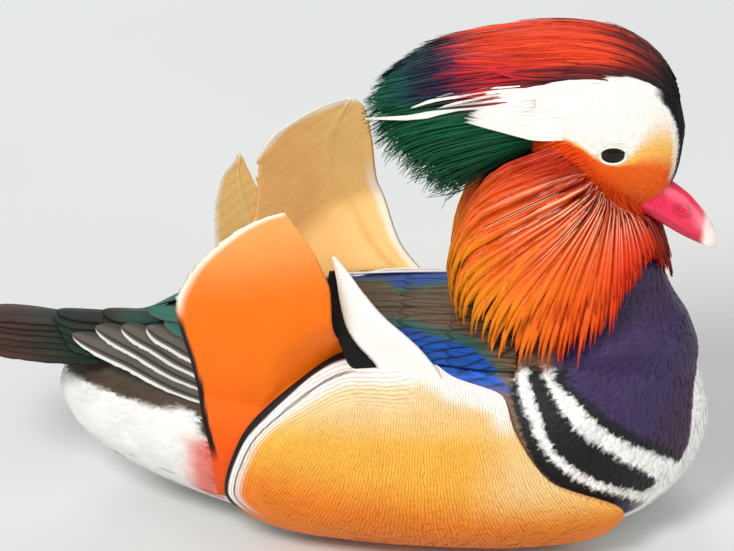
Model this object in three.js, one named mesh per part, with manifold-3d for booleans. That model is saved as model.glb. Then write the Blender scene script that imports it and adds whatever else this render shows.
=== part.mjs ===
// Mandarin duck drake, life size, afloat in pose: it rests on its belly with its feet tucked under.
// Millimetres. +X runs to the bill, +Y to the bird's left, +Z up.
// The origin is on the flat of the belly, under the middle of the back.

import * as THREE from 'three';
import { mergeVertices } from 'three/addons/utils/BufferGeometryUtils.js';
import Module from 'manifold-3d';

const wasm = await Module();
wasm.setup();

// Driving dimensions
const GAP = 0.3; // air between two touching pieces
const SLACK = 0.05; // added to the gap where two curved faces are split differently
const UNDER_TAIL_X = -150; // hind end of the white coverts under the tail
const BREAST_X = 112; // front of the breast
const EYE_RADIUS = 5.2;
const EYE_PLACE = [70.3, 13.8, 161.6]; // on the left side
const BILL_GAPE = [79, 135]; // corner of the mouth, x and z
const BILL_LENGTH = 37.5; // from the corner of the mouth to the tip
const BILL_DROP = 0.583; // radians that the bill points down
const TAIL_TIP_X = -184;

// The left side is +1 and the right side -1
const SIDES = { left: 1, right: -1 };

// A smooth curve through [place, value] keys that never swings past them.
function curve(keys) {
  const x = keys.map((k) => k[0]);
  const y = keys.map((k) => k[1]);
  const step = x.slice(1).map((v, i) => v - x[i]);
  const rise = step.map((h, i) => (y[i + 1] - y[i]) / h);
  const slope = x.map((_, i) => {
    if (i === 0) return rise[0];
    if (i === x.length - 1) return rise[i - 1];
    if (rise[i - 1] * rise[i] <= 0) return 0;
    const a = 2 * step[i] + step[i - 1];
    const b = step[i] + 2 * step[i - 1];
    return (a + b) / (a / rise[i - 1] + b / rise[i]);
  });
  return (at) => {
    const q = Math.min(Math.max(at, x[0]), x[x.length - 1]);
    let i = 0;
    while (i < step.length - 1 && q > x[i + 1]) i += 1;
    const t = (q - x[i]) / step[i];
    const w = 1 - t;
    return (1 + 2 * t) * w * w * y[i] + t * w * w * step[i] * slope[i]
      + t * t * (3 - 2 * t) * y[i + 1] - t * t * w * step[i] * slope[i + 1];
  };
}

// Turns three.js geometry into a solid: shared vertices merged, collapsed faces dropped, faces outward.
function solid(geometry) {
  const bare = new THREE.BufferGeometry();
  bare.setAttribute('position', geometry.attributes.position);
  bare.setIndex(geometry.index);
  const merged = mergeVertices(bare, 1e-4);
  const points = merged.attributes.position.array;
  const corners = merged.index.array;
  const kept = [];
  let volume = 0;
  const [a, b, c] = [new THREE.Vector3(), new THREE.Vector3(), new THREE.Vector3()];
  for (let i = 0; i < corners.length; i += 3) {
    const [p, q, r] = [corners[i], corners[i + 1], corners[i + 2]];
    if (p === q || q === r || r === p) continue;
    kept.push(p, q, r);
    volume += a.fromArray(points, 3 * p).dot(b.fromArray(points, 3 * q).cross(c.fromArray(points, 3 * r)));
  }
  if (volume < 0) kept.reverse();
  return new wasm.Manifold(new wasm.Mesh({
    numProp: 3,
    vertProperties: new Float32Array(points),
    triVerts: new Uint32Array(kept),
  }));
}

// The largest closed surface of a solid; loose scraps go.
function largest(piece) {
  const parts = piece.decompose();
  return parts.reduce((best, part) => (part.volume() > best.volume() ? part : best), parts[0]);
}

const join = (pieces) => pieces.reduce((sum, piece) => sum.add(piece));
const cut = (piece, cutters) => cutters.reduce((rest, cutter) => rest.subtract(cutter), piece);

// A closed skin of rings: place(s, turn) is the point at s, -1 to 1 along, and turn, 0 to 2 pi around.
function rings(around, along, place) {
  const geometry = new THREE.SphereGeometry(1, around, along);
  const p = geometry.attributes.position;
  for (let i = 0; i < p.count; i += 1) {
    p.setXYZ(i, ...place(p.getY(i), Math.atan2(p.getZ(i), p.getX(i))));
  }
  return solid(geometry);
}

// A thin sheet, both faces split alike. at(u, v) is its middle, u -1 to 1 across and v 0 to 1 from the root.
// thick(u, v) is its full thickness. The faces meet in sharp edges all round.
function sheet(across, along, at, thick) {
  const plane = new THREE.PlaneGeometry(2, 1, across, along);
  const grid = plane.attributes.position;
  const top = [];
  const bottom = [];
  const step = 0.01;
  for (let i = 0; i < grid.count; i += 1) {
    const u = grid.getX(i);
    const v = 0.5 - grid.getY(i);
    const middle = new THREE.Vector3(...at(u, v));
    const rim = Math.abs(u) > 0.999 || v < 0.001 || v > 0.999;
    const half = rim ? 0 : thick(u, v) / 2;
    const acrossWay = new THREE.Vector3(...at(u + step, v)).sub(new THREE.Vector3(...at(u - step, v)));
    const ahead = new THREE.Vector3(...at(u, Math.min(1, v + step)));
    const alongWay = ahead.sub(new THREE.Vector3(...at(u, Math.max(0, v - step))));
    const out = acrossWay.cross(alongWay).normalize().multiplyScalar(half);
    top.push(...middle.clone().add(out).toArray());
    bottom.push(...middle.clone().sub(out).toArray());
  }
  const index = [...plane.index.array];
  const under = [];
  for (let i = 0; i < index.length; i += 3) {
    under.push(index[i] + grid.count, index[i + 2] + grid.count, index[i + 1] + grid.count);
  }
  const geometry = new THREE.BufferGeometry();
  geometry.setAttribute('position', new THREE.Float32BufferAttribute([...top, ...bottom], 3));
  geometry.setIndex([...index, ...under]);
  return solid(geometry);
}

// Random draws from 0 to 1, seeded so that every build is alike
function draws(seed) {
  let state = seed;
  return () => {
    state = (state * 1664525 + 1013904223) % 4294967296;
    return state / 4294967296;
  };
}

// Body
// Back line, keel line, level of the widest point and half width, by the distance along X
const back = curve([[-150, 44], [-147, 52], [-138, 60], [-120, 68], [-90, 77], [-50, 84], [0, 88],
  [50, 90], [75, 88], [95, 78], [108, 58], [112, 40]]);
const keel = curve([[-150, 44], [-147, 35], [-138, 23], [-120, 13], [-95, 5], [-70, 0], [-40, -2],
  [30, -2], [65, -1], [85, 4], [98, 12], [108, 24], [112, 40]]);
const widest = curve([[-150, 44], [-90, 38], [-30, 34], [40, 36], [112, 40]]);
const halfWidth = curve([[-150, 0], [-147, 9], [-138, 19], [-120, 30], [-95, 42], [-70, 51], [-40, 58],
  [0, 62], [25, 62.5], [45, 60], [65, 55], [80, 48], [93, 37], [102, 25], [108, 13], [111, 5], [112, 0]]);
const BACK_ROUND = 2; // power of the section above its widest level, 2 is an ellipse
const BELLY_ROUND = 2.35; // and below it, fuller
const BODY_MIDDLE = (UNDER_TAIL_X + BREAST_X) / 2;
const BODY_REACH = (BREAST_X - UNDER_TAIL_X) / 2;

const superCos = (turn, power) => Math.sign(Math.cos(turn)) * Math.abs(Math.cos(turn)) ** (2 / power);
const superSin = (turn, power) => Math.sign(Math.sin(turn)) * Math.abs(Math.sin(turn)) ** (2 / power);

// Growth fades out at the poles of a skin of rings, where each ring closes to a point
const swell = (s, grow) => grow * Math.min(1, 4 * Math.sqrt(1 - s * s));

function bodySkin(around, along, grow = 0) {
  return rings(around, along, (s, turn) => {
    const x = BODY_MIDDLE + s * BODY_REACH;
    const power = Math.sin(turn) > 0 ? BACK_ROUND : BELLY_ROUND;
    const height = Math.sin(turn) > 0 ? back(x) - widest(x) : widest(x) - keel(x);
    const more = swell(s, grow);
    return [
      x + s * grow,
      (halfWidth(x) + more) * superCos(turn, power),
      widest(x) + (height + more) * superSin(turn, power),
    ];
  });
}

// How far out a point lies from the body's middle line, where 1 is its surface
function bodyReach(x, y, z) {
  const rises = z > widest(x);
  const power = rises ? BACK_ROUND : BELLY_ROUND;
  const height = rises ? back(x) - widest(x) : widest(x) - keel(x);
  const side = Math.abs(y) / halfWidth(x);
  const rise = Math.abs(z - widest(x)) / height;
  return (side ** power + rise ** power) ** (1 / power);
}

// The point on the body's surface straight out from a point near it, raised off it by lift.
function onBody([x, y, z], lift) {
  const reach = bodyReach(x, y, z);
  const foot = new THREE.Vector3(x, y / reach, widest(x) + (z - widest(x)) / reach);
  const d = 0.5;
  const out = new THREE.Vector3(
    bodyReach(foot.x + d, foot.y, foot.z) - bodyReach(foot.x - d, foot.y, foot.z),
    bodyReach(foot.x, foot.y + d, foot.z) - bodyReach(foot.x, foot.y - d, foot.z),
    bodyReach(foot.x, foot.y, foot.z + d) - bodyReach(foot.x, foot.y, foot.z - d),
  ).normalize();
  return foot.addScaledVector(out, lift).toArray();
}

// The point on one side of the body at a distance x along and a level z, raised by lift.
function onSide(x, z, lift, side) {
  const rises = z > widest(x);
  const power = rises ? BACK_ROUND : BELLY_ROUND;
  const height = rises ? back(x) - widest(x) : widest(x) - keel(x);
  const rise = Math.min(Math.abs(z - widest(x)) / height, 0.97);
  const y = halfWidth(x) * (1 - rise ** power) ** (1 / power);
  return onBody([x, side * y, z], lift);
}

// Neck: front line, hind line and half width by the level
const neckFront = curve([[45, 88], [55, 101], [62, 106.5], [69, 107.2], [76, 105.1], [84.5, 101.7],
  [91, 97.6], [102, 92.6], [110.5, 89.2], [117, 85.5], [130, 84.5], [145, 84], [160, 80]]);
const neckHind = curve([[45, 60], [70, 30], [88, 14], [100, 22], [115, 27], [130, 31], [150, 37],
  [160, 44]]);
const neckHalf = curve([[45, 8], [60, 22], [72, 33], [80, 36], [90, 31], [102, 25], [115, 20.5],
  [130, 17.5], [150, 16.5], [160, 14]]);
const NECK_LOW = 45;
const NECK_HIGH = 160;

function neckSkin(around, along, grow = 0) {
  return rings(around, along, (s, turn) => {
    const z = (NECK_LOW + NECK_HIGH) / 2 + s * (NECK_HIGH - NECK_LOW) / 2;
    const close = Math.sqrt(1 - s ** 8); // rounds the ends only, which lie inside head and body
    const middle = (neckFront(z) + neckHind(z)) / 2;
    const reach = (neckFront(z) - neckHind(z)) / 2 + grow;
    return [middle + close * reach * Math.cos(turn), close * (neckHalf(z) + grow) * Math.sin(turn), z];
  });
}

// Head: crown line, throat line and half width by the distance along X
const crown = curve([[36, 168], [40, 182], [50, 193], [64, 198], [78, 195.5], [88, 188.5], [94, 181],
  [98, 166]]);
const throat = curve([[36, 168], [40, 152], [50, 138], [64, 131], [80, 131], [90, 138], [95, 147],
  [98, 166]]);
const cheek = curve([[36, 0], [38, 7], [43, 12.5], [50, 16.5], [60, 18.5], [70, 18.3], [80, 16],
  [88, 12.5], [94, 8.5], [97, 4.5], [98, 0]]);
const HEAD_HIND_X = 36;
const HEAD_FRONT_X = 98;

function headSkin(around, along, grow = 0) {
  return rings(around, along, (s, turn) => {
    const x = (HEAD_HIND_X + HEAD_FRONT_X) / 2 + s * (HEAD_FRONT_X - HEAD_HIND_X) / 2;
    const middle = (crown(x) + throat(x)) / 2;
    const height = (crown(x) - throat(x)) / 2;
    const more = swell(s, grow);
    return [x + s * grow, (cheek(x) + more) * Math.cos(turn), middle + (height + more) * Math.sin(turn)];
  });
}

// The flesh is modelled whole and parted by planes: a point in the plane, and the way it faces, in X and Z.
const BREAST_CUT = { x: 38, z: 78, way: [0.77, 0.637] };
const NECK_CUT = { x: 100, z: 86, way: [0.1275, 0.9918] };
const HEAD_CUT = { x: 84, z: 130, way: [0.634, 0.773] };

function side(piece, plane, ahead) {
  const turn = ahead ? 1 : -1;
  const length = Math.hypot(...plane.way);
  const [nx, nz] = plane.way.map((v) => (turn * v) / length);
  return piece.trimByPlane([nx, 0, nz], nx * plane.x + nz * plane.z + GAP / 2);
}

// The ground plane: nothing reaches below it
const aboveGround = (piece) => piece.trimByPlane([0, 0, 1], 0);

// Bill
// Distances along the bill start at the corner of the mouth; heights stand on the line of the mouth
const billTop = curve([[0, 11], [6, 14.2], [15, 13.6], [21, 12], [28, 9.4], [33, 6.8], [36, 4],
  [37.5, 1.5]]);
const billLine = curve([[0, 0.4], [10, 1.2], [20, 0.8], [30, 1.2], [37.5, 1.4]]);
const billUnder = curve([[0, -1.2], [10, -1.6], [20, -1.4], [30, 0.2], [34, 1.2]]);
const billHalf = curve([[0, 8.5], [8, 8], [18, 6.9], [28, 6.2], [33, 5.4], [36, 3.6], [37.5, 0]]);
const PALATE = 0.12; // how far the upper bill reaches below its widest level, as a share of its height
const TONGUE_ROOM = 0.15; // the same for the lower bill, above its widest level
const BILL_TAPER = 0.25; // how much narrower the bill is along its ridge
const NOSTRIL = { along: 16.5, height: 8.4, out: 5.4, long: 2.6, high: 0.9, deep: 1.5 };
const LOWER_BILL = { from: 1, length: 32.5, inside: 0.8 };

// A point of the bill by its distance along, its height and its distance to the left
const billPoint = (along, height, left) => [
  BILL_GAPE[0] + along * Math.cos(BILL_DROP) + height * Math.sin(BILL_DROP),
  left,
  BILL_GAPE[1] - along * Math.sin(BILL_DROP) + height * Math.cos(BILL_DROP),
];

function billUpper() {
  const shape = rings(14, 11, (s, turn) => {
    const along = BILL_LENGTH * (s + 1) / 2;
    const low = billLine(along);
    const high = billTop(along);
    const round = Math.min(1, 2.5 * Math.sqrt(1 - s * s));
    const up = (Math.max(Math.sin(turn), -PALATE) + PALATE) / (1 + PALATE);
    return billPoint(along, low + (high - low) * round * up,
      billHalf(along) * round * Math.cos(turn) * (1 - BILL_TAPER * Math.max(0, Math.sin(turn))));
  });
  const { along: middle, height, out, long, high: tall, deep } = NOSTRIL;
  const nostrils = Object.values(SIDES).map((way) => rings(8, 5, (s, turn) => {
    const r = Math.sqrt(1 - s * s);
    const aside = way * (out + deep * r * Math.cos(turn));
    return billPoint(middle + long * s, height + tall * r * Math.sin(turn), aside);
  }));
  return cut(shape, nostrils);
}

function billLower() {
  return rings(10, 8, (s, turn) => {
    const along = LOWER_BILL.from + LOWER_BILL.length * (s + 1) / 2;
    const high = billLine(along) - GAP - SLACK;
    const low = billUnder(along);
    const round = Math.min(1, 2 * Math.sqrt(1 - s * s));
    const up = (Math.min(Math.sin(turn), TONGUE_ROOM) - TONGUE_ROOM) / (1 + TONGUE_ROOM);
    return billPoint(along, high + (high - low) * round * up,
      (billHalf(along) - LOWER_BILL.inside) * round * Math.cos(turn));
  });
}

// Eyes
const eyeBall = (way, grow = 0) => rings(12, 7, (s, turn) => {
  const [x, y, z] = EYE_PLACE;
  const reach = EYE_RADIUS + grow;
  const r = reach * Math.sqrt(1 - s * s);
  return [x + r * Math.cos(turn), way * (y + reach * s), z + r * Math.sin(turn)];
});

const LID_WIDE = 5.4; // half the opening between the lids, along the head
const LID_HIGH = 4.2; // and up and down
const LID_ROLL = 0.95; // half the thickness of a lid's rolled rim
const LID_OUT = 3.6; // from the middle of the eye out to the lids
const LID_TURN = 0.05; // how much the lids turn in towards the corners of the eye
const TUBE = 0.2; // thickness of the ring that the lids are drawn from

function lids(way) {
  const ring = new THREE.TorusGeometry(1, TUBE, 5, 14);
  const p = ring.attributes.position;
  for (let i = 0; i < p.count; i += 1) {
    const [px, py, pz] = [p.getX(i), p.getY(i), p.getZ(i)];
    const fold = Math.hypot(px, py);
    const roll = (fold - 1) * LID_ROLL / TUBE;
    const x = (px / fold) * (LID_WIDE + roll);
    const z = (py / fold) * (LID_HIGH + roll);
    const out = EYE_PLACE[1] + LID_OUT - LID_TURN * Math.abs(x) + pz * LID_ROLL / TUBE;
    p.setXYZ(i, EYE_PLACE[0] + x, way * out, EYE_PLACE[2] + z);
  }
  return solid(ring);
}

// Flanks: pads of close feathers over the folded wing, by their outline in X and Z
const FLANK_EDGE = [[-76, 26], [-70, 48], [-53, 66], [-28, 77], [0, 79], [31, 71], [36.5, 60], [50, 42],
  [78, 23], [60, 7], [0, 3], [-52, 8]];
const FLANK_MIDDLE = [0, 40];
const FLANK_REACH = 40; // from the middle to the nearest edge
const FLANK_RIM = 2.4; // how high the pad's rim lies over the body
const FLANK_DEPTH = 6.2; // and its middle
const FLANK_SUNK = 4.5; // how far the pad's inner face lies below its rim
const flankEdge = new THREE.CatmullRomCurve3(FLANK_EDGE.map(([x, z]) => new THREE.Vector3(x, 0, z)), true);

function flankPad(way, grow = 0) {
  return rings(24, 7, (s, turn) => {
    const r = Math.sqrt(1 - s * s) * (1 + grow / FLANK_REACH);
    const edge = flankEdge.getPoint((turn / (2 * Math.PI) + 1) % 1);
    const x = FLANK_MIDDLE[0] + r * (edge.x - FLANK_MIDDLE[0]);
    const z = FLANK_MIDDLE[1] + r * (edge.z - FLANK_MIDDLE[1]);
    const outer = FLANK_RIM + (FLANK_DEPTH - FLANK_RIM) * Math.sqrt(Math.max(0, s)) + grow;
    return onSide(x, z, s > 0 ? outer : FLANK_RIM - FLANK_SUNK * Math.min(1, -3 * s), way);
  });
}

// Sails: the two raised orange feathers. Each lobe has its hind and front edge by the level
const SAILS = {
  [SIDES.right]: [{
    hind: [[22, -80], [40, -82], [57, -87], [75, -90.5], [99, -96.4], [112, -91.5], [129, -77.8],
      [141, -62.3], [145, -53]],
    front: [[22, -74], [40, -66], [52, -57], [66, -42], [77, -24], [95, -31], [119, -35], [129, -39.4],
      [140, -47], [145, -53]],
    flare: 0,
  }],
  [SIDES.left]: [{
    hind: [[22, -80], [57, -84], [78, -82], [100, -74], [125, -72.4], [134, -67.5], [143, -55.4],
      [149, -43.5], [151.5, -35]],
    front: [[22, -74], [40, -66], [52, -57], [66, -38], [76, 0], [81, -5], [91, -15.5], [102, -21.6],
      [113, -26], [131, -27.6], [147, -30.8], [151.5, -35]],
    flare: 0,
  }, {
    hind: [[56, -87], [75, -90], [99, -90.5], [115, -88], [127, -79.6]],
    front: [[56, -70], [90, -66], [107, -72.6], [127, -79.6]],
    flare: 3,
  }],
};
const SAIL_THICK = 1.3;
const SAIL_LEAVES = 60; // level at which a sail leaves the body's side
const SAIL_LEAN = 0.09; // how far it leans in, for each millimetre that it rises
const SAIL_BOW = 2.5; // how far its middle bows out
const SAIL_LIFT = 4.4; // of its foot over the body's side, past the flank's rim
const SAIL_FOOT_X = -30; // no part of its foot is taken from farther forward than this
const LOBE_APART = 0.2; // more lift for each unit of a lobe's flare

function sail(way, grow = 0) {
  return join(SAILS[way].map(({ hind, front, flare }) => {
    const [low, high] = [hind[0][0], hind[hind.length - 1][0]];
    const [hindEdge, frontEdge] = [curve(hind), curve(front)];
    return sheet(flare ? 4 : 6, flare ? 8 : 11, (u, v) => {
      const z = low + (high - low) * v;
      const x = (hindEdge(z) + frontEdge(z)) / 2 + u * ((frontEdge(z) - hindEdge(z)) / 2 + grow);
      const lift = SAIL_LIFT + LOBE_APART * flare;
      const foot = onSide(Math.min(x, SAIL_FOOT_X), Math.min(z, SAIL_LEAVES), lift, way);
      if (z <= SAIL_LEAVES) return foot;
      const rise = z - SAIL_LEAVES;
      const bow = SAIL_BOW * Math.sin(Math.PI * rise / (high - SAIL_LEAVES));
      return [x, foot[1] + way * (bow - SAIL_LEAN * rise + flare * (rise / SAIL_LEAVES) ** 2), z];
    }, () => SAIL_THICK + 2 * grow);
  }));
}

// Wings: the folded arm under the flank feathers, and the flight feathers past it
const WING_MIDDLE_X = -24;
const WING_REACH = 50;
const WING_DEPTH = 2.9; // of the arm over the body
const WING_SUNK = 1.5; // and of its inner face into it
const WING_LEVEL = 60;
const WING_SLOPE = 0.02; // how much lower the arm lies for each millimetre forward
const WING_HIGH = 9; // half the arm's height

function wingArm(way, grow = 0) {
  return rings(12, 9, (s, turn) => {
    const x = WING_MIDDLE_X + s * (WING_REACH + grow);
    const r = Math.sqrt(1 - s * s);
    const full = Math.min(1, 2 * r);
    const z = WING_LEVEL - WING_SLOPE * x + (WING_HIGH + grow) * Math.cos(turn) * full;
    const out = Math.sin(turn);
    return onSide(x, z, out > 0 ? (WING_DEPTH + grow) * full * out : WING_SUNK * out * r, way);
  });
}

// A feather or lock along a spine of points, its upper face turned to the way face points.
// wide and thick are its largest width and thickness, and shape(v) its width along it, 0 to 1.
function vane(points, face, { wide, thick, across = 2, along = 5, shape, grow = 0, lay = (p) => p }) {
  const spine = new THREE.CatmullRomCurve3(points.map((p) => new THREE.Vector3(...p)));
  const up = new THREE.Vector3(...face).normalize();
  return sheet(across, along, (u, v) => {
    const left = up.clone().cross(spine.getTangent(v)).normalize();
    return lay(spine.getPoint(v).addScaledVector(left, u * (shape(v) * wide / 2 + grow)).toArray());
  }, () => thick + 2 * grow);
}

// Width along a feather: it widens from its root, stays broad and closes in a round tip
const broadShape = (v) => {
  const tip = Math.max(0, (v - 0.7) / 0.3);
  return (0.55 + 0.45 * Math.min(1, 2.5 * v)) * Math.sqrt(Math.max(0, 1 - tip ** 2));
};

// Flight feathers lie on the body as far back as WING_LEAVES_X, and run clear of it past WING_FREE_X
const WING_LEAVES_X = -98;
const WING_FREE_X = -120;

function layWing(point, lift) {
  const free = Math.min(1, Math.max(0, (WING_LEAVES_X - point[0]) / (WING_LEAVES_X - WING_FREE_X)));
  const laid = onBody([Math.max(point[0], WING_FREE_X), point[1], point[2]], lift);
  const ease = free * free * (3 - 2 * free);
  return [point[0], laid[1] * (1 - ease) + point[1] * ease, laid[2] * (1 - ease) + point[2] * ease];
}

// Each primary by how far up the body's side it lies: its spine from under the flank to its tip
const PRIMARIES = [
  { root: [-60, 46, 57], bend: [-92, 36.5, 61], free: [-118, 22, 65], tip: [-141, 13, 69.5], wide: 11 },
  { root: [-60, 45, 60], bend: [-92, 33, 65], free: [-114, 19, 68.5], tip: [-132, 9.5, 71.5], wide: 11 },
  { root: [-60, 44, 63], bend: [-92, 29.5, 68.5], free: [-108, 18, 71], tip: [-121.5, 10, 72.5], wide: 11 },
  { root: [-60, 43, 66], bend: [-90, 26.5, 71.5], free: [-101, 19, 73.5], tip: [-111, 12, 75], wide: 11 },
  { root: [-56, 41, 69], bend: [-84, 24, 75.5], free: [-94, 16, 77.5], tip: [-104, 8, 78], wide: 13 },
];
const WING_DROP = { [SIDES.right]: 0, [SIDES.left]: 7 }; // of the feathers' tips: the left wing hangs lower
const FEATHER_THICK = 0.8;
const FEATHER_STEP = 0.45; // from one flight feather out to the next, where they leave the arm
const FEATHER_SPREAD = 0.5; // and the more of it at their tips
const FEATHER_SPREADS_X = -90; // where they begin to spread
const FEATHER_SPREADS_OVER = 15; // and the length in which they do
const FIRST_FEATHER_LIFT = 1;

function primaries(way, grow = 0) {
  return PRIMARIES.map(({ root, bend, free, tip, wide }, i) => {
    const points = [root, bend, free, tip].map(([x, y, z], j) => {
      const drop = (WING_DROP[way] * j) / 3;
      return [x, way * (y + 0.6 * drop), z - drop];
    });
    const lift = (x) => {
      const spread = Math.min(1, Math.max(0, (FEATHER_SPREADS_X - x) / FEATHER_SPREADS_OVER));
      return FIRST_FEATHER_LIFT + i * (FEATHER_STEP + FEATHER_SPREAD * spread);
    };
    return vane(points, [0, way * 0.5, 0.87], {
      wide, thick: FEATHER_THICK, along: 6, shape: broadShape, grow, lay: (p) => layWing(p, lift(p[0])),
    });
  });
}

// Tail: two rows of feathers in a low roof, the middle ones on top, from a pad under the rump
const TAIL_ROOT_X = -100;
const TAIL_LEVEL = 73;
const TAIL_DROP = 11.5; // from the middle to the outermost feather
const TAIL_HALF = 26;
const TAIL_PAIRS = 4;
const COVERT_PAIRS = 2;
const TAIL_STEP = 0.9; // each feather lies this far below its inner neighbour

const TAIL_LONG = { tipX: TAIL_TIP_X, half: TAIL_HALF, wide: 11, lift: 0 };
const TAIL_COVERT = { tipX: -143, half: 19, wide: 12.5, lift: 1.9 };

const tailRoof = (x, y, lift) => [x, y, TAIL_LEVEL + lift - TAIL_DROP * (Math.abs(y) / TAIL_HALF) ** 1.3];

function tailFeather(rank, pairs, { tipX, half, wide, lift }) {
  const out = (rank / pairs) * (half - wide * 0.42);
  const reach = tipX - TAIL_ROOT_X - 4 * (rank / pairs) ** 2 * Math.sign(tipX);
  return sheet(2, 4, (u, v) => {
    const y = out * (0.3 + 0.7 * Math.sin(v * Math.PI / 2)) + u * broadShape(v) * wide / 2;
    return tailRoof(TAIL_ROOT_X + reach * v, y, lift - TAIL_STEP * Math.abs(rank));
  }, () => FEATHER_THICK);
}

function tailFan() {
  const ranks = (pairs) => Array.from({ length: 2 * pairs + 1 }, (_, i) => i - pairs);
  const pad = sheet(6, 3, (u, v) => {
    const x = TAIL_ROOT_X + 6 - 36 * v;
    return tailRoof(x, 22 * u * (1 - 0.35 * v), -1.6 - TAIL_STEP * 4 * Math.abs(u));
  }, () => 5.5);
  return join([
    pad,
    ...ranks(TAIL_PAIRS).map((rank) => tailFeather(rank, TAIL_PAIRS, TAIL_LONG)),
    ...ranks(COVERT_PAIRS).map((rank) => tailFeather(rank, COVERT_PAIRS, TAIL_COVERT)),
  ]);
}

// Crest: its outline by the distance along X, which its locks keep within
const CREST_TIP_X = -26;
const CREST_FRONT_X = 99.5;
const crestTop = curve([[CREST_TIP_X, 168], [-20, 182], [-9, 192], [3, 201], [25, 203.5], [40, 208],
  [56, 210], [71, 206.5], [87, 196], [93, 188], [97.5, 176], [CREST_FRONT_X, 165]]);
const crestLow = curve([[CREST_TIP_X, 168], [-20, 151], [-4, 138], [11, 125], [24, 134], [36, 150],
  [60, 170], [85, 170], [95, 160], [CREST_FRONT_X, 165]]);
const crestHalf = curve([[CREST_TIP_X, 0], [-18, 7], [0, 11], [20, 13], [50, 11], [75, 8], [90, 4],
  [CREST_FRONT_X, 0]]);

function crestRoom(grow = 0) {
  return rings(16, 20, (s, turn) => {
    const x = (CREST_FRONT_X + CREST_TIP_X) / 2 + s * (CREST_FRONT_X - CREST_TIP_X) / 2;
    const middle = (crestTop(x) + crestLow(x)) / 2;
    const height = (crestTop(x) - crestLow(x)) / 2;
    const more = swell(s, grow);
    return [x + s * grow, (crestHalf(x) + more) * Math.cos(turn), middle + (height + more) * Math.sin(turn)];
  });
}

// The dense feathers at the locks' roots, half way out at most
const CORE_HIND_X = 6;
const CORE_FRONT_X = 99.3;
const coreTop = curve([[CORE_HIND_X, 174], [14, 188], [28, 197], [40, 201], [56, 204.5], [72, 202],
  [87, 192.5], [93, 185.5], [97.3, 175], [CORE_FRONT_X, 165]]);
const coreLow = curve([[CORE_HIND_X, 174], [14, 158], [26, 150], [40, 156], [60, 170], [85, 170],
  [95, 160], [CORE_FRONT_X, 165]]);
const coreHalf = curve([[CORE_HIND_X, 0], [14, 6], [30, 9.5], [50, 9.5], [75, 7.2], [90, 3.6],
  [CORE_FRONT_X, 0]]);

function crestCore() {
  return rings(12, 12, (s, turn) => {
    const x = (CORE_FRONT_X + CORE_HIND_X) / 2 + s * (CORE_FRONT_X - CORE_HIND_X) / 2;
    const middle = (coreTop(x) + coreLow(x)) / 2;
    return [x, coreHalf(x) * Math.cos(turn), middle + ((coreTop(x) - coreLow(x)) / 2) * Math.sin(turn)];
  });
}

// Locks by their rank, 0 along the top to 1 lowest at the nape: root, bend and tip in X and Z
const profile = (points) => {
  const line = new THREE.CatmullRomCurve3(points.map(([x, z]) => new THREE.Vector3(x, 0, z)));
  return (t) => line.getPoint(t);
};
const crestRoot = profile([[86, 192], [72, 199], [58, 200], [46, 196], [38, 186], [34, 176], [33, 166]]);
const crestBend = profile([[40, 205], [30, 201], [16, 194], [8, 182], [10, 168], [16, 158], [23, 148]]);
const crestTip = profile([[-2, 199], [-12, 190], [-22, 180], [-25.5, 168], [-22, 155], [-8, 142],
  [10, 127]]);

// Width along a lock: widest before its middle, then tapering to a point
const lockShape = (v) => Math.min(1, 0.65 + 1.2 * v) * Math.max(0, 1 - v ** 2.6) ** 0.9;
const CREST_COLUMNS = [
  { across: 0, locks: 7, from: 0, to: 1 },
  { across: 0.45, locks: 5, from: 0.05, to: 0.95 },
  { across: 0.85, locks: 5, from: 0.12, to: 0.88 },
];
const CREST_LOCK = { wide: 10.5, thick: 1.1 };
const LOCK_STEP = 0.45; // each lock of a column lies this much farther out than the one above it
// The white plume that runs from the brow along the side of the crest
const BROW_PLUME = [[60, 10, 187], [30, 11.2, 181], [0, 9.5, 175.5], [-24, 6.5, 171.8]];
const PLUME_SIZE = { wide: 11, thick: 1.2 };
const LOCK_SPREAD = { root: 7, tip: 6 }; // half the width of the crest at the locks' roots and tips
const LOCK_SUNK = { root: 3, bend: 1.5 }; // below the lines that they follow

function crestLock({ across, locks, from, to }, way, i, draw) {
  const rank = from + ((to - from) * (i + 0.3 * (draw() - 0.5))) / (locks - 1);
  const [root, bend, tip] = [crestRoot, crestBend, crestTip].map((at) => at(Math.min(1, Math.max(0, rank))));
  const short = 2.5 * draw() + 5 * across;
  const aside = (across ? way : 1) * (i - (locks - 1) / 2) * LOCK_STEP;
  const run = tip.clone().sub(root).normalize();
  const points = [
    [root.x, way * across * LOCK_SPREAD.root, root.z - LOCK_SUNK.root],
    [bend.x, way * across * crestHalf(bend.x) * 0.88 + aside, bend.z - LOCK_SUNK.bend],
    [tip.x - short * run.x, way * across * LOCK_SPREAD.tip + aside, tip.z - short * run.z],
  ];
  const face = [run.z * (1 - across), 1.3 * way * across, -run.x * (1 - across)];
  return vane(points, face, { ...CREST_LOCK, along: across ? 4 : 3, shape: lockShape });
}

function crestLocks() {
  const draw = draws(11);
  const plumes = Object.values(SIDES).map((way) => {
    const points = BROW_PLUME.map(([x, y, z]) => [x, way * y, z]);
    return vane(points, [0, way, 0], { ...PLUME_SIZE, along: 5, shape: lockShape });
  });
  const columns = CREST_COLUMNS.flatMap((column) => (column.across ? [1, -1] : [0]).flatMap((way) => (
    Array.from({ length: column.locks }, (_, i) => crestLock(column, way, i, draw))
  )));
  return plumes.concat(columns);
}

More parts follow.
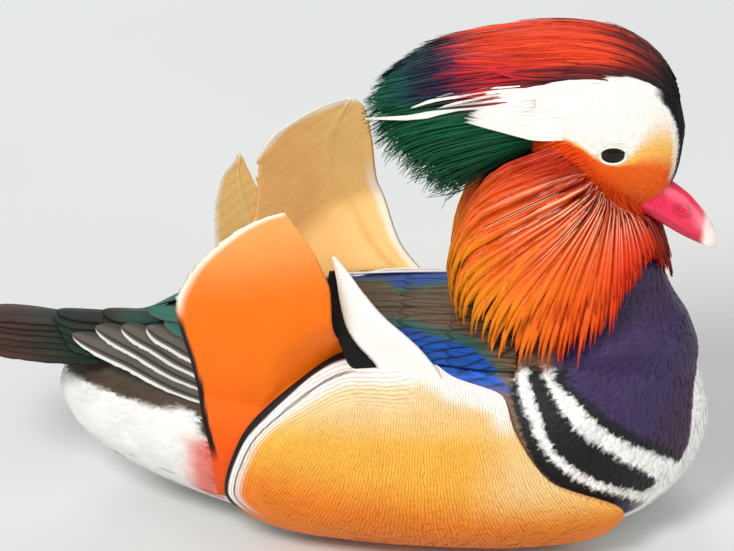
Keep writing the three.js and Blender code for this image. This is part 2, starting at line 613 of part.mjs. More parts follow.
// Ruff: hackles from a line under the cheek and nape down to a line of tips on the breast and mantle.
// Both lines run from the middle of the nape, around 0, to the side of the throat, around 1, on the left.
const through = (points) => {
  const line = new THREE.CatmullRomCurve3(points.map((p) => new THREE.Vector3(...p)));
  return (around) => {
    const t = Math.min(1, Math.abs(around));
    const p = line.getPoint(t);
    return new THREE.Vector3(p.x, around < 0 ? -p.y : p.y, p.z);
  };
};
const hackleRoot = through([[38, 0, 158], [43, 10, 159], [50, 15.5, 156], [58, 18, 150], [65, 18, 144],
  [74, 15.5, 137], [82, 10, 131]]);
const hackleTip = through([[4, 0, 91], [14, 18, 89.5], [25.5, 31.5, 86], [40, 39.5, 82], [56, 36, 87],
  [69, 32, 92.5], [79, 24.5, 102], [84, 15, 116]]);
const hackleBulge = curve([[0, 17], [0.15, 18], [0.3, 10], [0.45, 4], [0.75, 3], [1, 2]]);
const NECK_AXIS = [58, 0];
const HACKLE_SUNK = 0.5; // how far a hackle's root lies in towards the neck's axis

// A point of the ruff: around as above, down from 0 at the roots to 1 at the tips, out by lift
function ruffPoint(around, down, lift = 0) {
  const at = (a, d) => {
    const p = hackleRoot(a).lerp(hackleTip(a), d);
    const out = new THREE.Vector3(p.x - NECK_AXIS[0], p.y - NECK_AXIS[1], 0).normalize();
    return p.addScaledVector(out, hackleBulge(Math.abs(a)) * 4 * d * (1 - d));
  };
  const step = 0.02;
  const p = at(around, down);
  const across = at(around + step, down).sub(at(around - step, down));
  const along = at(around, down + step).sub(at(around, down - step));
  return p.addScaledVector(across.cross(along).normalize(), lift).toArray();
}

// Millimetres of the ruff for each unit around it
function ruffGirth(around, down) {
  const step = 0.02;
  const [ahead, behind] = [step, -step].map((d) => new THREE.Vector3(...ruffPoint(around + d, down)));
  return ahead.distanceTo(behind) / (2 * step);
}

const HACKLE_TIERS = [
  { locks: 9, from: 0.36, to: 1, sunk: 2.6, wide: 12 },
  { locks: 8, from: 0.18, to: 0.84, sunk: 1.3, wide: 11.5 },
  { locks: 8, from: 0.03, to: 0.66, sunk: 0, wide: 10 },
];
const HACKLE_THICK = 1.1;
const HACKLE_OVER = 0.35; // every other hackle lies this far over the ruff, and the rest as far under

function hackles(way) {
  const draw = draws(way + 5);
  return HACKLE_TIERS.flatMap(({ locks, from, to, sunk, wide }, tier) => (
    Array.from({ length: locks }, (_, i) => {
      const around = way * Math.min(0.99, (i + 0.35 + 0.3 * draw() + 0.15 * (tier % 2)) / locks);
      const end = to - 0.05 * draw();
      const over = i % 2 ? HACKLE_OVER : -HACKLE_OVER;
      return sheet(2, tier === 0 ? 4 : 3, (u, v) => {
        const down = from + (end - from) * v;
        const half = (lockShape(v) * wide) / 2 / ruffGirth(around, down);
        const [x, y, z] = ruffPoint(around + u * half, down, over - sunk * (1 - down));
        const inward = HACKLE_SUNK * Math.max(0, 1 - 3 * v) ** 1.5;
        return [x + (NECK_AXIS[0] - x) * inward, y * (1 - inward), z];
      }, () => HACKLE_THICK);
    })
  ));
}

// The dense down at the hackles' roots, half way out at most
const RUFF_CORE = { level: 129, reach: 27 }; // its middle, and from there up and down
const ruffCoreHind = curve([[102, 20], [115, 16], [130, 21], [145, 29], [156, 36]]);
const ruffCoreFront = curve([[102, 70], [115, 80], [140, 80], [156, 72]]);
const ruffCoreHalf = curve([[102, 20], [112, 24], [125, 21.5], [145, 19], [156, 16]]);

function ruffCore() {
  return rings(18, 8, (s, turn) => {
    const z = RUFF_CORE.level + RUFF_CORE.reach * s;
    const close = Math.sqrt(1 - s ** 4);
    const middle = (ruffCoreFront(z) + ruffCoreHind(z)) / 2;
    const reach = (ruffCoreFront(z) - ruffCoreHind(z)) / 2;
    return [middle + close * reach * Math.cos(turn), close * ruffCoreHalf(z) * Math.sin(turn), z];
  });
}

// The room that one side's hackles take up near their tips
const RUFF_ROOM_THICK = 5;
const ruffRoom = (way) => (
  sheet(12, 6, (u, v) => ruffPoint(way * (0.5 + 0.56 * u), 0.4 + 0.64 * v, 0.5), () => RUFF_ROOM_THICK)
);

// Scapulars: feathers over the shoulder in tiers, and the white one that stands up before the sail
const SCAPULAR_TIERS = [
  { root: 16, tip: -52, lift: 1.3, rows: [20, 31] },
  { root: 24, tip: -28, lift: 2.2, rows: [23, 35] },
  { root: 32, tip: -6, lift: 3.1, rows: [26, 38] },
];
const SCAPULAR_WIDE = 14;
const SCAPULAR_STEP = 0.25; // every other feather of a tier lies this much higher
const SCAPULAR_DRIFT = 2.5; // how far each runs in towards the middle, in each half of its length
const SCAPULAR_PAD = { x: 20, y: 31, long: 17, wide: 12, rim: 1.2, high: 1.4, sunk: 3 };
const BACK_LEVEL = 84; // about the level of the shoulders, from where points are laid on the back

// The point of the back over a place of the shoulder
const onBack = (x, y, lift) => onBody([x, y, widest(x) + (back(x) - widest(x)) * 0.9], lift);

function scapularPad(way, grow = 0) {
  const { x, y, long, wide, rim, high, sunk } = SCAPULAR_PAD;
  return rings(10, 5, (s, turn) => {
    const r = Math.sqrt(1 - s * s);
    const [ahead, aside] = [(long + grow) * r * Math.cos(turn), (wide + grow) * r * Math.sin(turn)];
    return onBack(x + ahead, way * (y + aside), s > 0 ? rim + (high + grow) * s : rim + sunk * s);
  });
}

function scapularVanes(way, grow = 0) {
  return SCAPULAR_TIERS.flatMap(({ root, tip, lift, rows }) => rows.map((row, i) => {
    const along = [root, (root + tip) / 2, tip];
    const points = along.map((x, j) => [x, way * (row - SCAPULAR_DRIFT * j), BACK_LEVEL]);
    return vane(points, [0, way * 0.4, 0.9], {
      wide: SCAPULAR_WIDE,
      thick: FEATHER_THICK,
      along: 4,
      shape: broadShape,
      grow,
      lay: (p) => onBack(p[0], p[1], lift + SCAPULAR_STEP * (i % 2)),
    });
  }));
}

const WHITE_SCAPULAR = {
  [SIDES.right]: [[22, -36, 79.5], [2, -36, 80.5], [-16, -36, 87], [-29, -36, 101], [-36, -37, 119]],
  [SIDES.left]: [[22, 36, 79.5], [0, 34, 81.5], [-20, 29, 85], [-40, 25, 88]],
};

const WHITE_SCAPULAR_SIZE = { wide: 17, thick: 1.2 };

function whiteScapular(way) {
  const points = WHITE_SCAPULAR[way];
  return vane(points, [0.3, way * 0.9, 0.5], { ...WHITE_SCAPULAR_SIZE, along: 7, shape: broadShape });
}

// Feet, folded under the belly: the shank lies on the ground from the heel forward to the toes
const HEEL = [-50, 27]; // x, and distance from the middle line
const TOE_ROOT = [-14, 23];
const SHANK_THICK = 6.4;
const TOE_LENGTH = 49;
const TOE_SPREAD = 13; // from the middle toe to each outer toe, at the tips
const TOE_THICK = 4.6;
const WEB_THICK = 1.8;
const SOLE = 1; // level of the middle of the web
const HOLLOW_ROOM = 2; // on each side of the foot

function leg(way, grow = 0) {
  return rings(8, 6, (s, turn) => {
    const t = (s + 1) / 2;
    const r = (SHANK_THICK / 2 - 0.4 * t + grow) * Math.min(1, 2 * Math.sqrt(1 - s * s));
    const x = HEEL[0] + (TOE_ROOT[0] - HEEL[0]) * t + s * grow;
    const y = HEEL[1] + (TOE_ROOT[1] - HEEL[1]) * t;
    return [x, way * y + r * Math.cos(turn), SHANK_THICK / 2 - 0.6 + r * Math.sin(turn)];
  });
}

const footHalf = (v) => 3 + (TOE_SPREAD - 1) * v;
const footMiddle = (v) => TOE_ROOT[1] + 2 * v;

function foot(way) {
  return sheet(8, 6, (u, v) => {
    const toe = Math.abs(Math.cos(1.5 * Math.PI * u));
    const x = TOE_ROOT[0] + v * TOE_LENGTH * (0.86 + 0.14 * toe);
    return [x, way * (footMiddle(v) + u * footHalf(v)), SOLE];
  }, (u) => WEB_THICK + (TOE_THICK - WEB_THICK) * Math.cos(1.5 * Math.PI * u) ** 2);
}

// The hollow in the belly that a foot lies in
function footHollow(way) {
  const edge = [[0, -1], [1, -1], [1, 1], [0, 1]].map(([v, u]) => new THREE.Vector2(
    TOE_ROOT[0] + v * TOE_LENGTH + (v > 0 ? GAP : -GAP),
    way * (footMiddle(v) + u * (footHalf(v) + HOLLOW_ROOM)),
  ));
  const depth = SOLE + TOE_THICK / 2 + GAP;
  const block = new THREE.ExtrudeGeometry(new THREE.Shape(edge), { depth: depth + 1, bevelEnabled: false });
  return solid(block.translate(0, 0, -1));
}

// Nodes
const skins = (grow) => join([bodySkin(26, 22, grow), neckSkin(18, 11, grow), headSkin(20, 14, grow)]);
const flesh = skins(0);
const fleshGrown = skins(GAP);

const colours = {
  brown: 0x5b4a36, white: 0xf4f0e6, purple: 0x3a1f4d, orange: 0xf07f1c, rust: 0xd9481c, pink: 0xe5244f,
  gold: 0xe8a437, olive: 0x4a4430, green: 0x0d4a3a, black: 0x0c0a0c, teal: 0x2c7d74, ochre: 0xc98b2d,
};

const duck = new THREE.Group();

function node(name, piece, colour, roughness = 0.7) {
  const mesh = aboveGround(largest(piece)).getMesh();
  const geometry = new THREE.BufferGeometry();
  geometry.setAttribute('position', new THREE.BufferAttribute(new Float32Array(mesh.vertProperties), 3));
  geometry.setIndex(new THREE.BufferAttribute(new Uint32Array(mesh.triVerts), 1));
  geometry.computeVertexNormals();
  const finish = new THREE.MeshStandardMaterial({ color: colours[colour], roughness, metalness: 0 });
  const made = new THREE.Mesh(geometry, finish);
  made.name = name;
  duck.add(made);
}

const ways = Object.entries(SIDES);
const tucked = ways.flatMap(([, way]) => [leg(way, GAP), footHollow(way)]);
node('torso', cut(side(side(flesh, NECK_CUT, false), BREAST_CUT, false), tucked), 'brown');
node('breast', cut(side(side(flesh, NECK_CUT, false), BREAST_CUT, true), tucked), 'purple');
const neckCore = side(side(skins(2 * GAP), HEAD_CUT, false), NECK_CUT, true);
const BILL_ROOM = GAP + 0.4; // air round the bill, in the head
const billRoom = rings(12, 10, (s, turn) => {
  const along = BILL_LENGTH * (s + 1) / 2;
  const r = Math.min(1, 2.5 * Math.sqrt(1 - s * s));
  const middle = (billTop(along) + billUnder(along)) / 2;
  const high = (billTop(along) - billUnder(along)) / 2 + BILL_ROOM;
  const wide = billHalf(along) + BILL_ROOM;
  return billPoint(along, middle + high * r * Math.sin(turn), wide * r * Math.cos(turn));
});
const headWhole = join([side(flesh, HEAD_CUT, true), ...ways.map(([, way]) => lids(way))]);
node('head', cut(headWhole, [...ways.map(([, way]) => eyeBall(way, GAP)), billRoom]), 'white');
const fleshCut = [fleshGrown];
node('bill_upper', cut(billUpper(), fleshCut), 'pink', 0.35);
node('bill_lower', cut(billLower(), fleshCut), 'pink', 0.35);
node('crest', cut(join([crestCore(), ...crestLocks()]), fleshCut), 'green');
const ruff = join([ruffCore(), ...hackles(SIDES.left), ...hackles(SIDES.right)]);
node('neck', cut(join([neckCore, cut(ruff, fleshCut)]), [crestRoom(GAP)]), 'rust');
for (const [name, way] of ways) {
  node(`eye_${name}`, eyeBall(way), 'black', 0.1);
  const bed = wingArm(way, GAP);
  const behind = sail(way, GAP);
  const flankCut = [...fleshCut, bed, behind, footHollow(way), leg(way, GAP)];
  node(`flank_${name}`, cut(flankPad(way), flankCut), 'ochre');
  node(`sail_${name}`, cut(sail(way), fleshCut), 'orange');
  node(`wing_${name}`, cut(join([wingArm(way), ...primaries(way)]), [...fleshCut, behind]), 'teal');
  const shoulderCut = [...fleshCut, ruffRoom(way), flankPad(way, GAP), behind, bed];
  node(`scapulars_${name}`, cut(join([scapularPad(way), ...scapularVanes(way)]), shoulderCut), 'brown');
  const shoulderRoom = [scapularPad(way, GAP), ...scapularVanes(way, GAP)];
  node(`white_scapular_${name}`, cut(whiteScapular(way), [...shoulderCut, ...shoulderRoom]), 'white');
  node(`leg_${name}`, cut(leg(way), [footHollow(way)]), 'ochre');
  node(`foot_${name}`, foot(way), 'ochre');
}
node('tail', cut(tailFan(), [...fleshCut, ...ways.flatMap(([, way]) => primaries(way, GAP))]), 'olive');

export default duck;
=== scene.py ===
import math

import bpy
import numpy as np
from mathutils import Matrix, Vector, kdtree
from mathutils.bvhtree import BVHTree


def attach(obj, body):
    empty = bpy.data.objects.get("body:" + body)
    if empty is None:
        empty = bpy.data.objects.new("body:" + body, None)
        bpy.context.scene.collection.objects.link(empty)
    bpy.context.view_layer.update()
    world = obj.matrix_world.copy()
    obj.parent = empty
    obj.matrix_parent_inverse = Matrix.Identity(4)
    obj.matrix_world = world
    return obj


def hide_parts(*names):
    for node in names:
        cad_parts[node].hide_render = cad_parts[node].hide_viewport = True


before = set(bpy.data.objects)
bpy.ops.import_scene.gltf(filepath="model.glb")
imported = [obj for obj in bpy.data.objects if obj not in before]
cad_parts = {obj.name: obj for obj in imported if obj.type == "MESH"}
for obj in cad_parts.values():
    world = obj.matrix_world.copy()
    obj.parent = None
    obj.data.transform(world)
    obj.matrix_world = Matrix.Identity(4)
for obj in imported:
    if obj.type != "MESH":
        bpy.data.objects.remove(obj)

# %% [markdown]
# A mandarin duck drake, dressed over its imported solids.
# The solids give every form its place. Here each form gets what the solids leave out: one smooth
# skin, thousands of feathers that lie on it, glossy bill and eyes, and the markings of the species.
# Lengths in this file are millimetres until a mesh is made, because a bird is easiest to think of
# that way; Blender's own unit is the metre.

MM = 0.001
LEFT, RIGHT = 1, -1
GAP = 0.3
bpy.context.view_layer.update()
draw = np.random.default_rng(7)
for thing in bpy.context.selected_objects:
    thing.select_set(False)

# %% [markdown]
# Camera, floor and light. The camera stands where the photograph was taken from: 28 degrees above
# the horizon, a little ahead of the bird's right side, through a long lens. A pale floor and three
# large soft lamps stand in for an overcast day, so that gloss comes from the feathers themselves.

# %% Camera, floor and light
CAMERA_AT = (110.7, -1554.3, 925.8)
CAMERA_AIM = (-27.83, 28.91, 80.73)
scene = bpy.context.scene
lens = bpy.data.cameras.new("photo_lens")
lens.sensor_width = 36
lens.lens = 220.708
camera = bpy.data.objects.new("photo_camera", lens)
camera.location = Vector(CAMERA_AT) * MM
camera.rotation_euler = (Vector(CAMERA_AIM) - Vector(CAMERA_AT)).to_track_quat("-Z", "Y").to_euler()
scene.collection.objects.link(camera)
scene.camera = camera
scene.view_settings.view_transform = "Standard"


def colour(code):
    """A linear colour from an sRGB hex value such as 'f08030'."""
    parts = np.array([int(code[i:i + 2], 16) for i in (0, 2, 4)]) / 255
    return np.where(parts <= 0.04045, parts / 12.92, ((parts + 0.055) / 1.055) ** 2.4)


def rgba(code):
    return (*colour(code), 1.0)


def add_node(tree, kind, inputs=None, **settings):
    """Adds one node, sets its properties, and fills or links its inputs, by name or number."""
    made = tree.nodes.new(kind)
    for name, value in settings.items():
        setattr(made, name, value)
    for name, value in (inputs or {}).items():
        if isinstance(value, bpy.types.NodeSocket):
            tree.links.new(value, made.inputs[name])
        else:
            made.inputs[name].default_value = value
    return made


def soft_lamp(name, at, aim, size, power, code="ffffff"):
    data = bpy.data.lights.new(name, "AREA")
    data.shape = "DISK"
    data.size = size
    data.energy = power
    data.color = colour(code)
    lamp = bpy.data.objects.new(name, data)
    lamp.location = at
    lamp.rotation_euler = (Vector(aim) - Vector(at)).to_track_quat("-Z", "Y").to_euler()
    scene.collection.objects.link(lamp)


soft_lamp("key_lamp", (-0.7, -1.3, 1.7), (0, 0, 0.08), 0.8, 32)
soft_lamp("fill_lamp", (1.6, -0.9, 0.9), (0, 0, 0.08), 1.2, 10)
soft_lamp("back_lamp", (-0.4, 1.6, 1.3), (0, 0, 0.1), 1.2, 12)
world = bpy.data.worlds.new("studio")
world.use_nodes = True
world.node_tree.nodes["Background"].inputs["Color"].default_value = rgba("eef1f4")
world.node_tree.nodes["Background"].inputs["Strength"].default_value = 0.55
scene.world = world
print("camera, three lamps and a plain sky are set")

# %% [markdown]
# The next helpers are the same named lines that the solids were drawn from. A line through a few
# measured keys never swings past them, which keeps a bird's profile clean between two keys.

# %% Lines through named keys


def curve(keys):
    """A smooth line through [place, value] keys that never swings past them."""
    at, value = np.array(keys, float).T
    step = np.diff(at)
    rise = np.diff(value) / step
    slope = np.concatenate([rise[:1], np.zeros(len(at) - 2), rise[-1:]])
    a = 2 * step[1:] + step[:-1]
    b = step[1:] + 2 * step[:-1]
    same = rise[:-1] * rise[1:] > 0
    safe = np.where(same[:, None], np.stack([rise[:-1], rise[1:]], 1), 1)
    slope[1:-1] = np.where(same, (a + b) / (a / safe[:, 0] + b / safe[:, 1]), 0)

    def line(place):
        q = np.clip(place, at[0], at[-1])
        i = np.clip(np.searchsorted(at, q, side="left") - 1, 0, len(step) - 1)
        t = (q - at[i]) / step[i]
        w = 1 - t
        return ((1 + 2 * t) * w * w * value[i] + t * w * w * step[i] * slope[i]
                + t * t * (3 - 2 * t) * value[i + 1] - t * t * w * step[i] * slope[i + 1])

    return line


def through(points):
    """A smooth path through points in space, by a share from 0 to 1."""
    points = np.array(points, float)
    share = np.linspace(0, 1, len(points))
    lines = [curve(np.stack([share, points[:, k]], 1)) for k in range(points.shape[1])]
    return lambda t: np.stack([line(np.clip(t, 0, 1)) for line in lines], -1)


def unit(v):
    return v / np.maximum(np.linalg.norm(v, axis=-1, keepdims=True), 1e-9)


def ease(value, low, high):
    """0 below low, 1 above high and smooth between them; low may be the larger one."""
    t = np.clip((value - low) / (high - low), 0, 1)
    return t * t * (3 - 2 * t)


def mix(a, b, share):
    return a + (b - a) * np.asarray(share)[..., None]


# %% [markdown]
# Body lines: back, keel, level of the widest point and half width by the distance along the bird.
# Neck and head have their own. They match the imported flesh, so the skin can be laid just inside it.

# %% Body lines
back = curve([[-150, 44], [-147, 52], [-138, 60], [-120, 68], [-90, 77], [-50, 84], [0, 88],
              [50, 90], [75, 88], [95, 78], [108, 58], [112, 40]])
keel = curve([[-150, 44], [-147, 35], [-138, 23], [-120, 13], [-95, 5], [-70, 0], [-40, -2],
              [30, -2], [65, -1], [85, 4], [98, 12], [108, 24], [112, 40]])
widest = curve([[-150, 44], [-90, 38], [-30, 34], [40, 36], [112, 40]])
half_width = curve([[-150, 0], [-147, 9], [-138, 19], [-120, 30], [-95, 42], [-70, 51], [-40, 58],
                    [0, 62], [25, 62.5], [45, 60], [65, 55], [80, 48], [93, 37], [102, 25],
                    [108, 13], [111, 5], [112, 0]])
BACK_ROUND, BELLY_ROUND = 2, 2.35
neck_front = curve([[45, 88], [55, 101], [62, 106.5], [69, 107.2], [76, 105.1], [84.5, 101.7],
                    [91, 97.6], [102, 92.6], [110.5, 89.2], [117, 85.5], [130, 84.5], [145, 84], [160, 80]])
neck_hind = curve([[45, 60], [70, 30], [88, 14], [100, 22], [115, 27], [130, 31], [150, 37], [160, 44]])
neck_half = curve([[45, 8], [60, 22], [72, 33], [80, 36], [90, 31], [102, 25], [115, 20.5],
                   [130, 17.5], [150, 16.5], [160, 14]])
crown = curve([[36, 168], [40, 182], [50, 193], [64, 198], [78, 195.5], [88, 188.5], [94, 181], [98, 166]])
throat = curve([[36, 168], [40, 152], [50, 138], [64, 131], [80, 131], [90, 138], [95, 147], [98, 166]])
cheek = curve([[36, 0], [38, 7], [43, 12.5], [50, 16.5], [60, 18.5], [70, 18.3], [80, 16],
               [88, 12.5], [94, 8.5], [97, 4.5], [98, 0]])


def power(value, exponent):
    return np.sign(value) * np.abs(value) ** exponent


def body_section(x):
    """Power and height of the body's section above and below its widest level."""
    return back(x) - widest(x), widest(x) - keel(x)


def body_reach(p):
    """How far out points lie from the body's middle line, where 1 is its surface."""
    x, y, z = p[..., 0], p[..., 1], p[..., 2]
    above, below = body_section(x)
    rises = z > widest(x)
    rounding = np.where(rises, BACK_ROUND, BELLY_ROUND)
    height = np.where(rises, above, below)
    side = np.abs(y) / np.maximum(half_width(x), 0.1)
    rise = np.abs(z - widest(x)) / np.maximum(height, 0.1)
    return (side ** rounding + rise ** rounding) ** (1 / rounding)


def on_body(p, lift):
    """The points on the body's surface straight out from points near it, raised by lift."""
    p = np.asarray(p, float)
    reach = np.maximum(body_reach(p), 1e-3)
    level = widest(p[..., 0])
    foot = np.stack([p[..., 0], p[..., 1] / reach, level + (p[..., 2] - level) / reach], -1)
    steps = np.eye(3) * 0.5
    out = unit(np.stack([body_reach(foot + s) - body_reach(foot - s) for s in steps], -1))
    return foot + out * np.asarray(lift)[..., None]


def on_side(x, z, lift, side):
    """Points on one side of the body by their distance along it and their level."""
    x, z, lift = np.broadcast_arrays(x, z, lift)
    above, below = body_section(x)
    rises = z > widest(x)
    rounding = np.where(rises, BACK_ROUND, BELLY_ROUND)
    rise = np.minimum(np.abs(z - widest(x)) / np.where(rises, above, below), 0.97)
    y = half_width(x) * (1 - rise ** rounding) ** (1 / rounding)
    return on_body(np.stack([x, side * y, z], -1), lift)


print("the back is", float(back(0)), "mm high over the keel at the middle")

# %% [markdown]
# The skin. On the real bird nothing shows of it, but feathers need something to lie on, and one skin
# over head, neck and body leaves no seam between them. Each of the three starts as a sphere whose
# rings are moved to the measured sections. They are joined, remeshed into one surface and smoothed.

# %% Skin
COAT = 1.3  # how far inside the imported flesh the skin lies
HEAD_COAT = 0.5  # the same on the head, whose feathers are short
FLOOR_COAT = 0.9  # the same under the belly, which rests on the floor


def sphere(name, around, along, place):
    """A sphere whose vertices are moved by place(s, turn): s from pole to pole, turn around."""
    bpy.ops.mesh.primitive_uv_sphere_add(segments=around, ring_count=along, radius=1)
    made = bpy.context.object
    made.name = name
    made.data.name = name
    made.select_set(False)
    points = np.empty(len(made.data.vertices) * 3)
    made.data.vertices.foreach_get("co", points)
    x, y, z = points.reshape(-1, 3).T
    moved = place(np.clip(z, -1, 1), np.arctan2(y, x)) * MM
    made.data.vertices.foreach_set("co", moved.ravel())
    made.data.update()
    return made


def swell(s, grow):
    return grow * np.minimum(1, 4 * np.sqrt(1 - s * s))


def body_ring(s, turn):
    x = -19 + s * 131
    above, below = body_section(x)
    up = np.sin(turn) > 0
    rounding = 2 / np.where(up, BACK_ROUND, BELLY_ROUND)
    more = swell(s, -COAT)
    return np.stack([x - s * COAT, (half_width(x) + more) * power(np.cos(turn), rounding),
                     widest(x) + (np.where(up, above, below) + more) * power(np.sin(turn), rounding)], -1)


def neck_ring(s, turn):
    z = 102.5 + s * 57.5
    close = np.sqrt(1 - s ** 8)
    middle = (neck_front(z) + neck_hind(z)) / 2
    reach = (neck_front(z) - neck_hind(z)) / 2 - COAT
    return np.stack([middle + close * reach * np.cos(turn), close * (neck_half(z) - COAT) * np.sin(turn), z], -1)


def head_ring(s, turn):
    x = 67 + s * 31
    middle = (crown(x) + throat(x)) / 2
    height = (crown(x) - throat(x)) / 2
    more = swell(s, -HEAD_COAT)
    return np.stack([x - s * HEAD_COAT, (cheek(x) + more) * np.cos(turn), middle + (height + more) * np.sin(turn)], -1)


def apply_modifier(piece, kind, **settings):
    """Adds a modifier with its settings and applies it."""
    made = piece.modifiers.new(kind.lower(), kind)
    for name, value in settings.items():
        setattr(made, name, value)
    bpy.context.view_layer.objects.active = piece
    bpy.ops.object.modifier_apply(modifier=made.name)


def places(piece):
    """The vertices of a piece, in millimetres."""
    points = np.empty(len(piece.data.vertices) * 3)
    piece.data.vertices.foreach_get("co", points)
    return points.reshape(-1, 3) / MM


def move_to(piece, points):
    piece.data.vertices.foreach_set("co", (points * MM).ravel())
    piece.data.update()


skin = sphere("skin", 96, 72, body_ring)
parts = [sphere(name, 64, 48, ring) for name, ring in (("skin_neck", neck_ring), ("skin_head", head_ring))]
for part in (skin, *parts):
    part.select_set(True)
bpy.context.view_layer.objects.active = skin
bpy.ops.object.join()
skin.select_set(False)
apply_modifier(skin, "REMESH", mode="VOXEL", voxel_size=1.7 * MM)
apply_modifier(skin, "SMOOTH", factor=0.5, iterations=5)

# %% [markdown]
# Two places of the skin are pressed: the belly is flat where it rests, and the face dips in
# a little under each eye, so that the ball sits in it. The face is not flat there, so a plane is
# fitted to it first, and ball and lids are set level with that plane.

# %% Belly and eye sockets
EYE_X, EYE_Z = 70.3, 161.6
LID_HALF = (4.6, 3.4)  # half the opening between the lids, along the head and up
SOCKET = 1.2


def from_eye(p, wide, high):
    """How far points lie from the eye's middle, where 1 is an ellipse of that half width and height."""
    away = np.hypot((p[..., 0] - EYE_X) / wide, (p[..., 2] - EYE_Z) / high)
    return np.where(np.abs(p[..., 1]) > 5, away, 9)


shape = places(skin)
beside = shape[(from_eye(shape, 9, 9) < 1) & (shape[:, 1] > 0)]
spread = np.stack([np.ones(len(beside)), beside[:, 0] - EYE_X, beside[:, 2] - EYE_Z], 1)
eye_level, eye_slope_x, eye_slope_z = np.linalg.lstsq(spread, beside[:, 1], rcond=None)[0]
print("the face is", round(float(eye_level), 2), "mm from the middle at the eye")
shape[:, 1] -= np.sign(shape[:, 1]) * SOCKET * ease(from_eye(shape, *LID_HALF), 1.15, 0.75)
shape[:, 2] = np.maximum(shape[:, 2], FLOOR_COAT)
move_to(skin, shape)
skin.data.polygons.foreach_set("use_smooth", np.ones(len(skin.data.polygons), bool))
bpy.context.view_layer.objects.active = skin
skin.select_set(True)
bpy.ops.object.mode_set(mode="EDIT")
bpy.ops.mesh.select_all(action="SELECT")
bpy.ops.uv.smart_project(angle_limit=math.radians(66), island_margin=0.004)
bpy.ops.object.mode_set(mode="OBJECT")
skin.select_set(False)
skin.data.uv_layers[0].name = "OFBake"
print("skin:", len(skin.data.polygons), "faces")

# %% [markdown]
# To lay feathers, a script must ask where the nearest skin is. A bounding volume tree answers that
# fast. The same question gives the place of a feather's root on the skin's unwrap.

# %% Asking the skin


class Surface:
    """A mesh that feathers lie on, with its unwrap."""

    def __init__(self, piece):
        mesh = piece.data
        mesh.calc_loop_triangles()
        self.points = places(piece)
        corners = np.empty(len(mesh.loop_triangles) * 3, int)
        mesh.loop_triangles.foreach_get("vertices", corners)
        self.faces = corners.reshape(-1, 3)
        loops = np.empty(len(mesh.loop_triangles) * 3, int)
        mesh.loop_triangles.foreach_get("loops", loops)
        flat = np.empty(len(mesh.loops) * 2)
        mesh.uv_layers[0].data.foreach_get("uv", flat)
        self.unwrap = flat.reshape(-1, 2)[loops].reshape(-1, 3, 2)
        self.tree = BVHTree.FromPolygons(self.points.tolist(), self.faces.tolist())
        a, b, c = (self.points[self.faces[:, k]] for k in range(3))
        self.cross = np.cross(b - a, c - a)
        self.area = np.linalg.norm(self.cross, axis=1) / 2
        vertex = np.zeros_like(self.points)
        for k in range(3):
            np.add.at(vertex, self.faces[:, k], self.cross)
        self.vertex_out = unit(vertex)

    def weights(self, face, p):
        a, b, c = (self.points[self.faces[face, k]] for k in range(3))
        n = self.cross[face]
        size = np.maximum((n * n).sum(-1), 1e-12)
        wb = (np.cross(p - a, c - a) * n).sum(-1) / size
        wc = (np.cross(b - a, p - a) * n).sum(-1) / size
        return np.clip(np.stack([1 - wb - wc, wb, wc], -1), 0, 1)

    def nearest(self, p):
        """Foot points, smooth normals and faces of the nearest surface."""
        flat = np.asarray(p, float).reshape(-1, 3)
        found = [self.tree.find_nearest(q) for q in flat.tolist()]
        foot = np.array([f[0][:] for f in found])
        face = np.array([f[2] for f in found])
        share = self.weights(face, foot)
        out = unit((self.vertex_out[self.faces[face]] * share[..., None]).sum(1))
        return foot.reshape(np.shape(p)), out.reshape(np.shape(p)), face

    def unwrap_at(self, p):
        foot, _, face = self.nearest(p)
        share = self.weights(face, foot)
        return (self.unwrap[face] * share[..., None]).sum(1)

    def roots(self, spacing, inside, tries=5):
        """Evenly scattered roots at about the spacing, where inside(points) is true."""
        middle = self.points[self.faces].mean(1)
        weight = self.area * inside(middle)
        count = int(tries * weight.sum() / spacing ** 2)
        face = draw.choice(len(self.faces), count, p=weight / weight.sum())
        u, v = draw.random((2, count))
        flip = u + v > 1
        u, v = np.where(flip, 1 - u, u), np.where(flip, 1 - v, v)
        a, b, c = (self.points[self.faces[face, k]] for k in range(3))
        points = a + u[:, None] * (b - a) + v[:, None] * (c - a)
        tree = kdtree.KDTree(count)
        for i, p in enumerate(points.tolist()):
            tree.insert(p, i)
        tree.balance()
        gone = np.zeros(count, bool)
        kept = []
        for i, p in enumerate(points.tolist()):
            if gone[i]:
                continue
            kept.append(i)
            for _, j, _ in tree.find_range(p, spacing):
                gone[j] = True
        return points[kept]


skin_surface = Surface(skin)
print("skin area:", round(skin_surface.area.sum()), "square millimetres")

# %% [markdown]
# A feather is a thin vane. Small ones are closed strips with a raised middle and a flat underside,
# a few dozen faces each, joined by the thousand into one mesh. Each carries its colour in an
# attribute and a patch on the bake map at the place of its root.

# %% Making meshes from arrays


